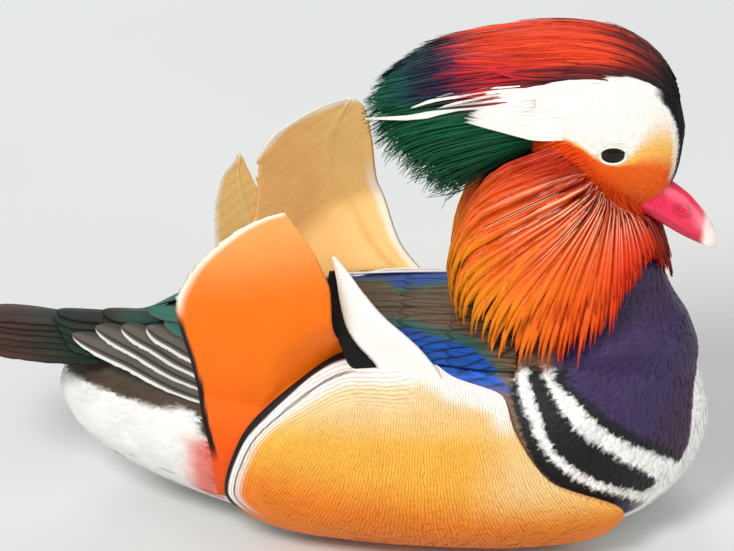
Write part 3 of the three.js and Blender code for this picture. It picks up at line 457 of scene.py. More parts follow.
def make_piece(name, points, quads, triangles, material, markings=None, barbs=None, bake=None, shade=None):
    """One mesh object from arrays, riding on the body, with colours and unwraps at its points."""
    mesh = bpy.data.meshes.new(name)
    corners = np.concatenate([np.ravel(quads), np.ravel(triangles)]).astype(np.int32)
    sizes = np.concatenate([np.full(len(quads), 4), np.full(len(triangles), 3)])
    mesh.vertices.add(len(points))
    mesh.vertices.foreach_set("co", (np.asarray(points) * MM).ravel())
    mesh.loops.add(len(corners))
    mesh.loops.foreach_set("vertex_index", corners)
    mesh.polygons.add(len(sizes))
    mesh.polygons.foreach_set("loop_start", (np.cumsum(sizes) - sizes).astype(np.int32))
    mesh.polygons.foreach_set("use_smooth", np.ones(len(sizes), bool))
    for layer, values in (("OFBake", bake), ("barbs", barbs)):
        if values is not None:
            made = mesh.uv_layers.new(name=layer)
            made.data.foreach_set("uv", np.asarray(values)[corners].ravel())
    if markings is not None:
        paint(mesh, markings)
    mesh.update(calc_edges=True)
    if shade is not None:
        mesh.normals_split_custom_set_from_vertices(unit(shade).reshape(-1, 3))
    piece = bpy.data.objects.new(name, mesh)
    scene.collection.objects.link(piece)
    dress(piece, material)
    print(name, "triangles:", int(sizes.sum() - 2 * len(sizes)))
    return piece


def paint(mesh, markings):
    """Stores linear colours at the points of a mesh."""
    layer = mesh.color_attributes.new("markings", "FLOAT_COLOR", "POINT")
    layer.data.foreach_set("color", np.c_[markings, np.ones(len(markings))].ravel())


def dress(piece, material):
    piece.data.materials.clear()
    piece.data.materials.append(material)
    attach(piece, "root")


def strips(grid, sides=None):
    """Faces of many closed strips: grid is (feathers, rows, columns, 3); the underside is flat."""
    n, rows, columns, _ = grid.shape
    index = np.arange(n * rows * columns).reshape(n, rows, columns)
    upper = np.stack([index[:, :-1, :-1], index[:, :-1, 1:], index[:, 1:, 1:], index[:, 1:, :-1]], -1)
    lower = np.stack([index[:, :-1, 0], index[:, 1:, 0], index[:, 1:, -1], index[:, :-1, -1]], -1)
    ends = []
    for c in range(1, columns - 1):
        ends.append(np.stack([index[:, 0, 0], index[:, 0, c + 1], index[:, 0, c]], -1))
        ends.append(np.stack([index[:, -1, 0], index[:, -1, c], index[:, -1, c + 1]], -1))
    return np.concatenate([upper.reshape(-1, 4), lower.reshape(-1, 4)]), np.concatenate(ends)


def strip_maps(grid, bake_root):
    """The barb map, u across and v along, and the bake map of strips."""
    n, rows, columns, _ = grid.shape
    v, u = np.meshgrid(np.linspace(0, 1, rows), np.linspace(0, 1, columns), indexing="ij")
    barbs = np.broadcast_to(np.stack([u, v], -1), (n, rows, columns, 2))
    bake = bake_root[:, None, None, :] + 0.003 * (barbs - 0.5)
    return barbs.reshape(-1, 2), bake.reshape(-1, 2)


def strip_piece(name, grid, shade, markings, bake_root, material):
    """A piece of many strips, with shading directions and markings (feathers, rows, columns, 3)."""
    quads, triangles = strips(grid)
    barbs, bake = strip_maps(grid, bake_root)
    return make_piece(name, grid.reshape(-1, 3), quads, triangles, material,
                      np.clip(markings, 0, 1).reshape(-1, 3), barbs, bake, shade)


# %% [markdown]
# Laying the small feathers. Each starts a little under the skin and rises to its tip, over the roots
# of those behind it, like tiles. Its rows follow the skin, so it bends with the body. A plumage looks
# smooth, not scaly, because light scatters between its barbs. So each vane is shaded mostly in the
# direction of the skin under it, and only a little in its own.

# %% Laying small feathers
ROWS = np.array([0, 0.42, 0.78, 1])
ROW_WIDTH = np.array([0.6, 1, 0.8, 0.28])
ACROSS = np.array([-1, 0, 1])


def lay_feathers(surface, roots, ways, length, width, lift, sunk=0.35, camber=0.05, turn=0.1, roll=0.2):
    """Points and shading directions (feathers, rows, 3, 3) of feathers laid on a surface."""
    count = len(roots)
    foot, out, _ = surface.nearest(roots)
    ways = unit(ways - (ways * out).sum(-1, keepdims=True) * out)
    swing = draw.normal(0, turn, count)[:, None]
    ways = ways * np.cos(swing) + np.cross(out, ways) * np.sin(swing)
    long = (np.broadcast_to(length, count) * draw.uniform(0.85, 1.15, count))[:, None, None]
    wide = (np.broadcast_to(width, count) * draw.uniform(0.9, 1.1, count))[:, None]
    tip = (np.broadcast_to(lift, count) * draw.uniform(0.7, 1.3, count))[:, None]
    spine, up, _ = surface.nearest(foot[:, None, :] + ways[:, None, :] * long * ROWS[None, :, None])
    height = -sunk + (tip + sunk) * ROWS[None, :] ** 0.7
    along = unit(np.gradient(spine, axis=1))
    side = unit(np.cross(up, along))
    half = (wide * ROW_WIDTH[None, :] / 2)[:, :, None, None]
    u = ACROSS[None, None, :, None]
    rise = height[:, :, None, None] + camber * 2 * half * (u == 0)
    grid = spine[:, :, None] - side[:, :, None] * half * u + up[:, :, None] * rise
    grid[..., 2] = np.maximum(grid[..., 2], 0.1)
    shade = up[:, :, None] - roll * u * side[:, :, None] + 0.12 * (ROWS ** 3)[None, :, None, None] * along[:, :, None]
    return grid, shade


# %% [markdown]
# Feather materials. Keratin feathers are matt to silky: barbs scatter light, and a thin gloss lies
# over them. The shader takes the markings, breaks them up with fine streaks along the barbs, and
# raises the barbs a little as bump. Their spacing is drawn about 0.5 mm, coarser than the real
# quarter millimetre, so that it shows in the picture.

# %% Feather materials


def plumage(name, rough=0.55, sheen=0.06, gloss=0.35, streak=0.14, barb=9, relief=0.2, mottle=0.08):
    """Silky feather: markings from the colour attribute, streaks and bump along the barbs."""
    made = bpy.data.materials.new(name)
    made.use_nodes = True
    tree = made.node_tree
    shader = tree.nodes["Principled BSDF"]
    marks = add_node(tree, "ShaderNodeAttribute", attribute_name="markings")
    barbs = add_node(tree, "ShaderNodeUVMap", uv_map="barbs")
    parts = add_node(tree, "ShaderNodeSeparateXYZ", {0: barbs.outputs[0]})
    slant = add_node(tree, "ShaderNodeMath", {0: parts.outputs[0], 1: 0.5}, operation="SUBTRACT")
    slope = add_node(tree, "ShaderNodeMath", {0: slant.outputs[0]}, operation="ABSOLUTE")
    lean = add_node(tree, "ShaderNodeMath", {0: slope.outputs[0], 1: -0.9, 2: parts.outputs[1]}, operation="MULTIPLY_ADD")
    line = add_node(tree, "ShaderNodeMath", {0: lean.outputs[0], 1: barb * 2 * math.pi}, operation="MULTIPLY")
    wave = add_node(tree, "ShaderNodeMath", {0: line.outputs[0]}, operation="SINE")
    where = add_node(tree, "ShaderNodeTexCoord")
    fine = add_node(tree, "ShaderNodeTexNoise", {"Vector": where.outputs["Object"], "Scale": 1 / 0.0009, "Detail": 3.0})
    broad = add_node(tree, "ShaderNodeTexNoise", {"Vector": where.outputs["Object"], "Scale": 1 / 0.012, "Detail": 2.0})
    both = add_node(tree, "ShaderNodeMath", {0: wave.outputs[0], 1: 0.3, 2: fine.outputs[0]}, operation="MULTIPLY_ADD")
    shade = add_node(tree, "ShaderNodeMapRange", {"Value": both.outputs[0], "From Min": 0.1, "From Max": 0.9,
                                                  "To Min": 1 - streak, "To Max": 1 + streak * 0.6})
    patch = add_node(tree, "ShaderNodeMapRange", {"Value": broad.outputs[0], "From Min": 0.25, "From Max": 0.75,
                                                  "To Min": 1 - mottle, "To Max": 1 + mottle})
    amount = add_node(tree, "ShaderNodeMath", {0: shade.outputs[0], 1: patch.outputs[0]}, operation="MULTIPLY")
    tone = add_node(tree, "ShaderNodeVectorMath", {0: marks.outputs["Color"], "Scale": amount.outputs[0]}, operation="SCALE")
    tree.links.new(tone.outputs[0], shader.inputs["Base Color"])
    bump = add_node(tree, "ShaderNodeBump", {"Height": both.outputs[0], "Strength": relief, "Distance": 0.0003})
    tree.links.new(bump.outputs[0], shader.inputs["Normal"])
    shader.inputs["Roughness"].default_value = rough
    shader.inputs["Specular IOR Level"].default_value = gloss
    shader.inputs["IOR"].default_value = 1.54
    shader.inputs["Sheen Weight"].default_value = sheen
    shader.inputs["Sheen Roughness"].default_value = 0.4
    return made


soft_feather = plumage("soft_contour_feather")
velvet_feather = plumage("velvet_face_feather", rough=0.75, gloss=0.2, streak=0.08, barb=3, relief=0.12, mottle=0.04)
glossy_feather = plumage("glossy_breast_feather", rough=0.45, sheen=0.02, gloss=0.3, streak=0.2, mottle=0.15)
silky_feather = plumage("silky_crest_strand", rough=0.5, gloss=0.28, streak=0.22, barb=2, mottle=0.12)
hackle_feather = plumage("silky_hackle", rough=0.62, sheen=0.0, gloss=0.15, streak=0.12, barb=6)
vane_feather = plumage("stiff_flight_vane", rough=0.55, sheen=0.02, gloss=0.2, streak=0.1, barb=70, relief=0.25, mottle=0.06)
print("feather materials:", sum(m.name.endswith(("feather", "strand", "hackle", "vane")) for m in bpy.data.materials))

# %% [markdown]
# Markings of the body. One function gives the colour of any point of the body, and skin and
# feathers both ask it. The lines are edges between two colours: for the bars on the side of the
# breast, their distance along the bird by their level.

# %% Markings of the body
BROWN, DARK_BROWN = colour("84664a"), colour("35281f")
WHITE, CREAM = colour("f8f5ef"), colour("f3e4c2")
PURPLE, MAROON, BLACK = colour("34204e"), colour("380c1e"), colour("08070a")
RED_ORANGE, TEAL, BLUE, NAVY = colour("e8481c"), colour("1f7068"), colour("0d5cc4"), colour("0c1430")
bars = [curve(keys) for keys in (
    [[22.3, 85.4], [30.8, 70.1], [39.8, 54.7], [49.4, 44.9], [58.7, 39.6], [65.4, 36.6], [71.8, 34.3]],
    [[21.6, 87.2], [30.8, 77.6], [38.2, 66], [45.7, 56.3], [53.9, 48.4], [62.7, 42.3], [70.5, 38], [75.5, 36.1]],
    [[21.2, 91], [29.3, 85.2], [38.5, 71.7], [45.2, 62.1], [51.7, 54.2], [60.9, 48.1], [68.9, 43.9], [75, 40.8]],
    [[22.6, 95.9], [33.4, 90.8], [42.5, 83], [50.8, 73.3], [57.6, 63.5], [64.6, 55.6], [70.3, 50.3], [75.5, 46.5]],
    [[28, 103], [32.9, 100.2], [41, 94.3], [49.8, 84.6], [58.3, 73], [63.3, 65.2], [70.1, 57.2], [74.9, 50.4]],
    [[30, 104.5], [33.8, 102.6], [39.2, 99.5], [47.3, 93.3], [55.5, 83.4], [62.2, 73.5], [68.5, 63.4], [74, 55]],
)]
bar_drop = curve([[20, 2.5], [55, 2], [68, 0], [80, 0]])
white_front = curve([[20, 60], [30, 31], [34.3, 23], [39, 19.5], [47, 17.3], [54.3, 13.8], [58.6, 9.5], [62, 0], [70, -20]])
white_belly = curve([[-150, 50], [-136, 52], [-108, 51.5], [-90, 54], [-85, 44], [-78, 20], [80, 16], [90, 20], [100, 28], [112, 34]])


blue_inner = curve([[-40, 17], [-18, 19.4], [-6, 22.4], [5.5, 27], [17.5, 31.5], [25.8, 38], [34, 43.5], [40, 48]])


def back_markings(p):
    """Streaky brown back with teal behind, and a cobalt patch along the flank."""
    x, y = p[..., 0], np.abs(p[..., 1])
    streak = np.sin(2.1 * y + 1.3 * np.sin(0.09 * x + 0.4 * y)) * np.sin(0.7 * y - 0.05 * x + 1)
    tint = mix(BROWN, DARK_BROWN, 0.75 * ease(streak, 0.1, 0.7) + 0.5 * ease(x, -30, -80))
    tint = mix(tint, TEAL, 0.7 * ease(streak, 0.2, -0.5) * ease(x, 12, -30))
    over = y - blue_inner(x) + 15 * (p[..., 1] > 0) * ease(x, -22, -12)
    blue = mix(BLUE, NAVY, 0.85 * ease(np.sin(1.7 * y + 0.35 * x + np.sin(0.3 * x)), 0.45, 0.95))
    tint = mix(tint, TEAL, 0.8 * ease(over, -7, -2) * ease(x, 36, 20))
    return mix(tint, blue, ease(over, -1, 1) * ease(x, 40, 34))


def body_markings(p):
    """The colour of points of the body, breast, belly and rump."""
    x, y, z = p[..., 0], np.abs(p[..., 1]), p[..., 2]
    tint = mix(back_markings(p), BROWN, ease(z, 74, 70))
    tint = mix(tint, DARK_BROWN, 0.8 * ease(x, -50, -85))
    tint = mix(tint, TEAL, 0.5 * ease(x, -60, -100) * ease(z, 55, 66))
    front = ease(x, 46, 54)
    breast = mix(PURPLE, MAROON, 0.8 * ease(x - 0.35 * (z - 60), 88, 112) + 0.3 * ease(z, 80, 105))
    tint = mix(tint, breast, np.clip(front, 0, 1))
    edges = [ease(x, edge(z + bar_drop(z)) - 0.2, edge(z + bar_drop(z)) + 0.2) for edge in bars]
    barred = tint
    for edge, shade in zip(edges, (BLACK, WHITE, BLACK, WHITE, BLACK, breast)):
        barred = mix(barred, shade, edge)
    tint = mix(tint, barred, ease(z, 79, 77))
    tint = mix(tint, WHITE, ease(y, white_front(z) + 0.5, white_front(z) - 0.5) * ease(x, 80, 92))
    tint = mix(tint, WHITE, ease(z, white_belly(x) + 1, white_belly(x) - 1))
    rump = 0.85 * ease(x, -97, -86) * ease(x, -76, -81) * ease(z, 47, 40) * ease(z, 10, 17)
    return mix(tint, RED_ORANGE, rump * ease(y, 32, 38))


# %% [markdown]
# Markings of head and neck. The face runs from white over the eye to yellow and orange at the bill
# and cheek. A black blaze runs up the forehead and turns maroon under the crest. Under the hackles
# the neck is dark red.

# %% Markings of head and neck
FACE_WHITE, FACE_YELLOW = colour("f6f1e8"), colour("fbbf5c")
FACE_ORANGE, FACE_RUST = colour("f36210"), colour("f04a0c")
NECK_RED, CREST_MAROON = colour("5e1410"), colour("4a1018")
hackle_line = curve([[34, 162], [38, 166], [43, 167.5], [50, 167], [57, 162.5], [62, 156], [66, 150], [72, 143],
                     [79, 135.5], [86, 131], [92, 126]])
orange_line = curve([[36, 166], [45, 166.5], [53, 165.5], [58, 163.8], [62, 160.6], [66, 158], [70.3, 156.6],
                     [74, 156.3], [78, 155.3], [83, 153.7], [89, 150.5], [95, 145]])
orange_fade = curve([[67, 2.2], [73, 2.6], [78, 9], [83, 18], [89, 24], [95, 28]])
brow_top = curve([[30, 186], [42, 190], [50, 192], [60, 193], [70, 192.3], [78, 190.5], [84, 188], [88, 184.5], [92, 178],
                  [95, 170]])
blaze_half = curve([[142, 3.5], [148, 5], [160, 6.6], [175, 7.6], [186, 9]])


def head_markings(p):
    x, y, z = p[..., 0], np.abs(p[..., 1]), p[..., 2]
    over = (z - orange_line(x)) / orange_fade(x)
    tint = mix(FACE_RUST, FACE_ORANGE, ease(z - hackle_line(x), 0, 9))
    tint = mix(tint, FACE_YELLOW, ease(over, 0.05, 0.5))
    tint = mix(tint, FACE_WHITE, ease(over, 0.45, 1.15))
    beside_blaze = ease(y, blaze_half(z) + 2.5, blaze_half(z) + 1.3) * ease(x, 84, 89)
    tint = mix(tint, FACE_WHITE, 0.85 * beside_blaze * ease(z, 144, 150))
    tint = mix(tint, BLACK, ease(y, blaze_half(z) + 0.5, blaze_half(z) - 0.5) * ease(x, 84, 89) * ease(z, 141, 145))
    return mix(tint, mix(CREST_MAROON, BLACK, ease(x, 70, 88)), ease(z, brow_top(x) - 0.4, brow_top(x) + 0.4) * ease(x, 96, 92))


def skin_markings(p):
    x, z = p[..., 0], p[..., 2]
    head = ease(z, hackle_line(x) - 1, hackle_line(x) + 1) * ease(x, 30, 36)
    low = 86 + 32 * ease(x, 60, 78)
    neck = ease(z, low, low + 6) * ease(x, 108, 102)
    return mix(mix(body_markings(p), NECK_RED, neck), head_markings(p), head)


paint(skin.data, skin_markings(places(skin)))
dress(skin, soft_feather)
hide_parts("torso", "breast", "neck", "head")
barb_map = skin.data.uv_layers.new(name="barbs")
barb_map.data.foreach_set("uv", np.zeros(len(skin.data.loops) * 2))
print("the skin carries", len(skin.data.vertices), "points of colour")

# %% [markdown]
# The coat of the body. Body feathers point to the tail; on the breast they point down and back. The
# sides under the flank pads are skipped, because nothing shows there. Each region is one piece.

# %% Body coat
flank_edge_keys = np.array([[-76, 26], [-70, 48], [-53, 66], [-28, 78.3], [-4, 80], [12, 75.2], [31, 71], [36.5, 60],
                            [50, 42], [78, 23], [60, 7], [0, 3], [-52, 8]], float)
FLANK_MIDDLE = np.array([0, 40.0])
wrapped = np.concatenate([flank_edge_keys[-3:], flank_edge_keys, flank_edge_keys[:4]])
edge_turns = np.arange(-3, len(flank_edge_keys) + 4) / len(flank_edge_keys)
edge_x = curve(np.stack([edge_turns, wrapped[:, 0]], 1))
edge_z = curve(np.stack([edge_turns, wrapped[:, 1]], 1))


def flank_edge(turn):
    """The outline of a flank, in x and z, by the turn around its middle."""
    share = (np.asarray(turn) / (2 * math.pi)) % 1
    return np.stack([edge_x(share), edge_z(share)], -1)


outline = flank_edge(np.linspace(0, 2 * math.pi, 361)) - FLANK_MIDDLE
outline_angle = np.unwrap(np.arctan2(outline[:, 1], outline[:, 0]))
outline_reach = np.hypot(*outline.T)
order = np.argsort(outline_angle)


def flank_share(p):
    """How far out points lie from the middle of the flank, where 1 is its edge, and its reach there."""
    x, z = p[..., 0] - FLANK_MIDDLE[0], p[..., 2] - FLANK_MIDDLE[1]
    angle = np.arctan2(z, x)
    base = outline_angle.min()
    angle = base + (angle - base) % (2 * math.pi)
    reach = np.interp(angle, outline_angle[order], outline_reach[order])
    return np.hypot(x, z) / reach, reach


def body_ways(p):
    """The way that body feathers point: to the tail, and down on the front of the breast."""
    x, y, z = p[..., 0], p[..., 1], p[..., 2]
    down = ease(x, 30, 100)
    drift = 0.25 * np.sign(y) * ease(x, 40, 100)
    return unit(np.stack([-1 + 0.55 * down, drift, -0.9 * down], -1))


def is_head(p):
    return (p[..., 2] > hackle_line(p[..., 0]) - 2) & (p[..., 0] > 34)


def is_neck(p):
    return ~is_head(p) & (p[..., 2] > 88 + 30 * ease(p[..., 0], 60, 78)) & (p[..., 0] > 8)


def is_breast(p):
    high = bars[0](np.clip(p[..., 2], 22, 76)) - 3
    return ~is_head(p) & ~is_neck(p) & (p[..., 0] > high) & (p[..., 2] > 1)


def is_hidden(p):
    return (flank_share(p)[0] < 0.86) & (np.abs(p[..., 1]) > 25)


def is_belly(p):
    return ~is_breast(p) & ~is_head(p) & ~is_neck(p) & ~is_hidden(p) & (p[..., 2] < 52) & (p[..., 2] > 0.95)


def is_back(p):
    return ~is_breast(p) & ~is_head(p) & ~is_neck(p) & ~is_hidden(p) & (p[..., 2] >= 52)


def coat(name, inside, spacing, length, width, lift, ways, markings, slot, material, surface=skin_surface,
         jitter=0.3, vary=0.04, **more):
    """One region of small feathers, coloured by where each part of it lies."""
    roots = surface.roots(spacing, inside)
    grid, shade = lay_feathers(surface, roots, ways(roots), length, width, lift, **more)
    moved = draw.normal(0, jitter, (len(roots), 1, 1, 3))
    tones = markings(grid + moved) * draw.normal(1, vary, (len(roots), 1, 1, 1))
    return strip_piece(name, grid, shade, tones, surface.unwrap_at(roots), material)


coarse = 1
for side_name, way in (("left", LEFT), ("right", RIGHT)):
    on_this_side = lambda p: p[..., 1] * way >= 0
    coat(f"coat_breast_{side_name}", lambda p: is_breast(p) & on_this_side(p), 1.35 * coarse, 7, 2.6 * coarse, 0.3,
         body_ways, body_markings, "breast_feathers", glossy_feather, jitter=0.1, vary=0.1)
coat("coat_back", is_back, 2.0 * coarse, 10, 3.8 * coarse, 0.35, body_ways, body_markings, "body_feathers",
     soft_feather, vary=0.1)
coat("coat_belly", is_belly, 2.0 * coarse, 10, 3.8 * coarse, 0.3, body_ways, body_markings, "body_feathers",
     soft_feather, vary=0.02, roll=0.12)

# %% [markdown]
# The coat of head and neck. Face feathers are short and velvety: they run back from the bill, up
# over the brow and down over the cheek. Those of the neck are under the hackles and point down.

# %% Head and neck coat


def face_ways(p):
    """Back from the bill, parting round the eye."""
    x, y, z = p[..., 0], p[..., 1], p[..., 2]
    rise = 0.5 * ease(z, 160, 180) - 0.75 * ease(z, 160, 140)
    return unit(np.stack([-np.ones_like(x), 0.1 * np.sign(y), rise], -1))


def neck_ways(p):
    x = p[..., 0]
    return unit(np.stack([np.full_like(x, -0.15), np.zeros_like(x), -np.ones_like(x)], -1))


def is_face(p):
    bill_base = (p[..., 0] > 88) & (p[..., 2] < 145) & (np.abs(p[..., 1]) < 8)
    return is_head(p) & (from_eye(p, 5.6, 4.3) > 1) & ~bill_base


for side_name, way in (("left", LEFT), ("right", RIGHT)):
    on_this_side = lambda p: p[..., 1] * way >= 0
    coat(f"coat_face_{side_name}", lambda p: is_face(p) & on_this_side(p), 0.78 * coarse, 3.4, 1.3 * coarse, 0.25,
         face_ways, head_markings, "face_feathers", velvet_feather, sunk=0.2, jitter=0.15, roll=0.12, vary=0.02)
coat("coat_neck", is_neck, 1.8 * coarse, 9, 2.2 * coarse, 0.5, neck_ways, skin_markings, "ruff_feathers",
     hackle_feather, vary=0.1)

# %% [markdown]
# The flanks: smooth pads of close feathers that lie over the folded wing. Their gold ground carries
# fine wavy lines 1.25 mm apart. The shader draws them from phases stored at the points: one for the
# upright lines, one for those that follow the edge behind. A black line and a white one edge the
# flank towards the sail.

# %% Flank pads
FLANK_RIM, FLANK_DEPTH = 2.2, 6.0
WAVE_PERIOD = 1.25


def flank_ring(way):
    def place(s, turn):
        r = np.sqrt(1 - s * s)
        edge = flank_edge(turn)
        xz = FLANK_MIDDLE + r[..., None] * (edge - FLANK_MIDDLE)
        thin = ease(xz[..., 1], 56, 72) * ease(xz[..., 0], -14, 4)
        rim = FLANK_RIM - 1.8 * thin
        deep = (FLANK_DEPTH - FLANK_RIM) * (1 - 0.8 * thin)
        high = rim + deep * np.sqrt(np.maximum(s, 0))
        low = rim - 4.5 * np.minimum(1, -3 * s)
        laid = on_side(xz[..., 0], xz[..., 1], np.where(s > 0, high, low), way)
        laid[..., 2] = np.maximum(laid[..., 2], 0.1)
        return laid
    return place


def vermiculated(name):
    """Gold flank feather with fine wavy dark lines over its markings."""
    made = plumage(name, rough=0.6, gloss=0.3, streak=0.06, barb=4, relief=0.12, mottle=0.05)
    tree = made.node_tree
    shader = tree.nodes["Principled BSDF"]
    ground = shader.inputs["Base Color"].links[0].from_socket
    where = add_node(tree, "ShaderNodeTexCoord")
    noise = add_node(tree, "ShaderNodeTexNoise", {"Vector": where.outputs["Object"], "Scale": 1 / 0.004, "Detail": 2.5})
    waves = []
    for name_of_phase, warp in (("waves", 13.0), ("edge_waves", 6.0)):
        phase = add_node(tree, "ShaderNodeAttribute", attribute_name=name_of_phase)
        moved = add_node(tree, "ShaderNodeMath", {0: noise.outputs[0], 1: warp, 2: phase.outputs["Fac"]},
                         operation="MULTIPLY_ADD")
        waves.append(add_node(tree, "ShaderNodeMath", {0: moved.outputs[0]}, operation="SINE"))
    near_edge = add_node(tree, "ShaderNodeAttribute", attribute_name="near_edge")
    wave = add_node(tree, "ShaderNodeMix", {0: near_edge.outputs["Fac"], 2: waves[0].outputs[0], 3: waves[1].outputs[0]},
                    data_type="FLOAT")
    breaks = add_node(tree, "ShaderNodeTexNoise", {"Vector": where.outputs["Object"], "Scale": 1 / 0.0022, "Detail": 2.0})
    whole = add_node(tree, "ShaderNodeMath", {0: breaks.outputs[0], 1: 1.1, 2: wave.outputs[0]}, operation="MULTIPLY_ADD")
    ink = add_node(tree, "ShaderNodeMapRange", {"Value": whole.outputs[0], "From Min": 0.7, "From Max": 1.4,
                                                "To Min": 0.0, "To Max": 0.45})
    deep = add_node(tree, "ShaderNodeMix", {0: 1.0, 6: ground, 7: rgba("a8703c")}, data_type="RGBA", blend_type="MULTIPLY")
    dark = add_node(tree, "ShaderNodeMix", {0: ink.outputs[0], 6: ground, 7: deep.outputs[2]}, data_type="RGBA")
    tree.links.new(dark.outputs[2], shader.inputs["Base Color"])
    return made


GOLD, FLANK_CREAM, FLANK_ORANGE = colour("f6b23c"), colour("eed5a4"), colour("f08216")
FLANK_LINE = colour("3c2a1c")
vermiculated_feather = vermiculated("vermiculated_flank_feather")


def flank_markings(p):
    """White along the top, gold, then orange below; black, white and dark lines edge it behind."""
    x, z = p[..., 0], p[..., 2]
    share, reach = flank_share(p)
    inside = (1 - share) * reach
    tint = mix(FLANK_ORANGE, GOLD, ease(z + 0.1 * x, 22, 46))
    tint = mix(tint, FLANK_CREAM, ease(z - 0.06 * x, 54, 76) + 0.6 * ease(x - z * 0.2, 6, 34) * ease(z, 22, 44))
    along = np.maximum(ease(z, 58, 68), ease(x, -15, -30) * ease(z, 14, 24))
    tint = mix(tint, WHITE, ease(inside, 8, 3) * along)
    hind = ease(x, -22, -32) * ease(z, 14, 20)
    drop = 2.4 * ease(z, 56, 79)  # near the top the pad's thickness lifts its points past the outline
    tint = mix(tint, FLANK_LINE, 0.8 * hind * ease(np.abs(inside - 3.5 + 0.7 * drop), 0.6, 0.25))
    return mix(tint, BLACK, ease(x, -12, -20) * ease(z, 14, 20) * ease(inside, 1.1 - drop, 0.7 - drop))


def flank_ways(p):
    x, z = p[..., 0], p[..., 2]
    return unit(np.stack([-np.ones_like(x), np.zeros_like(x), -0.1 + 0.35 * ease(z, 60, 20)], -1))


def add_waves(piece):
    """The phases of the flank's wavy lines, and where those along the edge take over."""
    p = places(piece)
    share, reach = flank_share(p)
    inside = (1 - share) * reach
    per_mm = 2 * math.pi / WAVE_PERIOD
    for layer_name, value in (("waves", p[:, 0] * (1 + (p[:, 2] - 40) / 90) * per_mm), ("edge_waves", inside * per_mm),
                              ("near_edge", ease(inside, 15, 8) * ease(p[:, 0], 2, -10))):
        layer = piece.data.attributes.new(layer_name, "FLOAT", "POINT")
        layer.data.foreach_set("value", value)


for side_name, way in (("left", LEFT), ("right", RIGHT)):
    pad = sphere(f"flank_pad_{side_name}", 240, 200, flank_ring(way))
    bpy.context.view_layer.objects.active = pad
    pad.select_set(True)
    bpy.ops.object.mode_set(mode="EDIT")
    bpy.ops.mesh.select_all(action="SELECT")
    bpy.ops.mesh.normals_make_consistent(inside=False)
    bpy.ops.uv.smart_project(angle_limit=math.radians(66), island_margin=0.01)
    bpy.ops.object.mode_set(mode="OBJECT")
    pad.data.polygons.foreach_set("use_smooth", np.ones(len(pad.data.polygons), bool))
    pad.select_set(False)
    pad.data.uv_layers[0].name = "OFBake"
    paint(pad.data, flank_markings(places(pad)))
    add_waves(pad)
    dress(pad, vermiculated_feather)
    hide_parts(f"flank_{side_name}")
    pad_surface = Surface(pad)
    outer = lambda p: (np.abs(p[..., 1]) > 8) & (flank_share(p)[0] < np.where(p[..., 0] < -18, 0.73, 0.96))
    feathers = coat(f"coat_flank_{side_name}", outer, 2.0 * coarse, 9, 3.6 * coarse, 0.22, flank_ways, flank_markings,
                    "flank_feathers", vermiculated_feather, surface=pad_surface, jitter=0.1, vary=0.015, roll=0.08,
                    camber=0.03)
    add_waves(feathers)

# %% [markdown]
# The ruff. Long narrow hackles spring from a small patch behind the gape and fan out over the neck:
# the top ones run back along the cheek and then fall, the middle ones fall straight. They gather in
# locks, each with a pale shaft in its middle and painted shade in the gaps between, and end in points.
# The fan is a surface with two coordinates: around, from the nape (0) to the throat (1), and down,
# from the roots (0) to the tips (1). A hackle starts at one place around and drifts to another.

# %% The fan of the ruff
hackle_root = through([[36, 0, 161], [38, 10, 165], [43, 14.5, 167], [50, 17, 167], [57, 18.5, 163],
                       [62, 18.9, 156.5], [66, 18.7, 150.5], [72, 17, 143.5], [79, 12, 136], [84.5, 0, 131.5]])
hackle_tip = through([[8, 0, 95], [9.5, 14, 95], [15, 25, 90.5], [28, 35, 82.5], [44, 39, 80.5],
                      [57, 37, 84.5], [70, 32.5, 93.5], [78, 28, 108], [85, 19, 116], [94, 0, 101]])
hackle_bulge = curve([[0, 6], [0.1, 10], [0.2, 11], [0.3, 9], [0.45, 6], [0.75, 4], [1, 1]])
fan_root = curve([[0, 0.3], [0.08, 0.42], [0.12, 0.53], [0.2, 0.63], [0.37, 0.7], [0.55, 0.735], [0.72, 0.765],
                  [0.82, 0.8], [0.9, 0.87], [1, 1]])
fan_turn = curve([[0, 4], [0.12, 3.6], [0.22, 1.9], [0.5, 2], [1, 1.4]])
NECK_AXIS = np.array([58, 0.0])


def ruff_place(around, down):
    """A point of the ruff on the left side, without lift."""
    share = np.clip(around, 0, 1)
    p = mix(hackle_root(share), hackle_tip(share), down)
    p[..., 1] += 60 * np.minimum(around, 0) - 60 * np.maximum(around - 1, 0)
    out = np.zeros_like(p)
    out[..., :2] = p[..., :2] - NECK_AXIS
    return p + unit(out) * (hackle_bulge(share) * 4 * down * (1 - down))[..., None]


def ruff_frame(around, down):
    """The point, the way across and the way out of the ruff."""
    step = 0.02
    across = unit(ruff_place(around + step, down) - ruff_place(around - step, down))
    along = ruff_place(around, down + step) - ruff_place(around, down - step)
    return ruff_place(around, down), across, unit(np.cross(across, along))


def fan_around(end, share):
    """Where around a hackle is that ends at end, after a share of its length."""
    start = fan_root(np.clip(end, 0, 1))
    return end + (start - end) * (1 - share) ** fan_turn(np.clip(end, 0, 1))


# %% [markdown]
# Colours of the hackles by their place in the fan: vivid orange-red above, orange and gold behind,
# red in front, dark red at the throat. The shafts are pale pink near the roots and fade downwards.

# %% Colours of the hackles
HACKLE_RED, HACKLE_ORANGE, HACKLE_GOLD = colour("e43404"), colour("f65a06"), colour("ff9414")
HACKLE_DARK, HACKLE_SHAFT, HACKLE_TIP = colour("5c0c06"), colour("fdcaa6"), colour("e02c08")


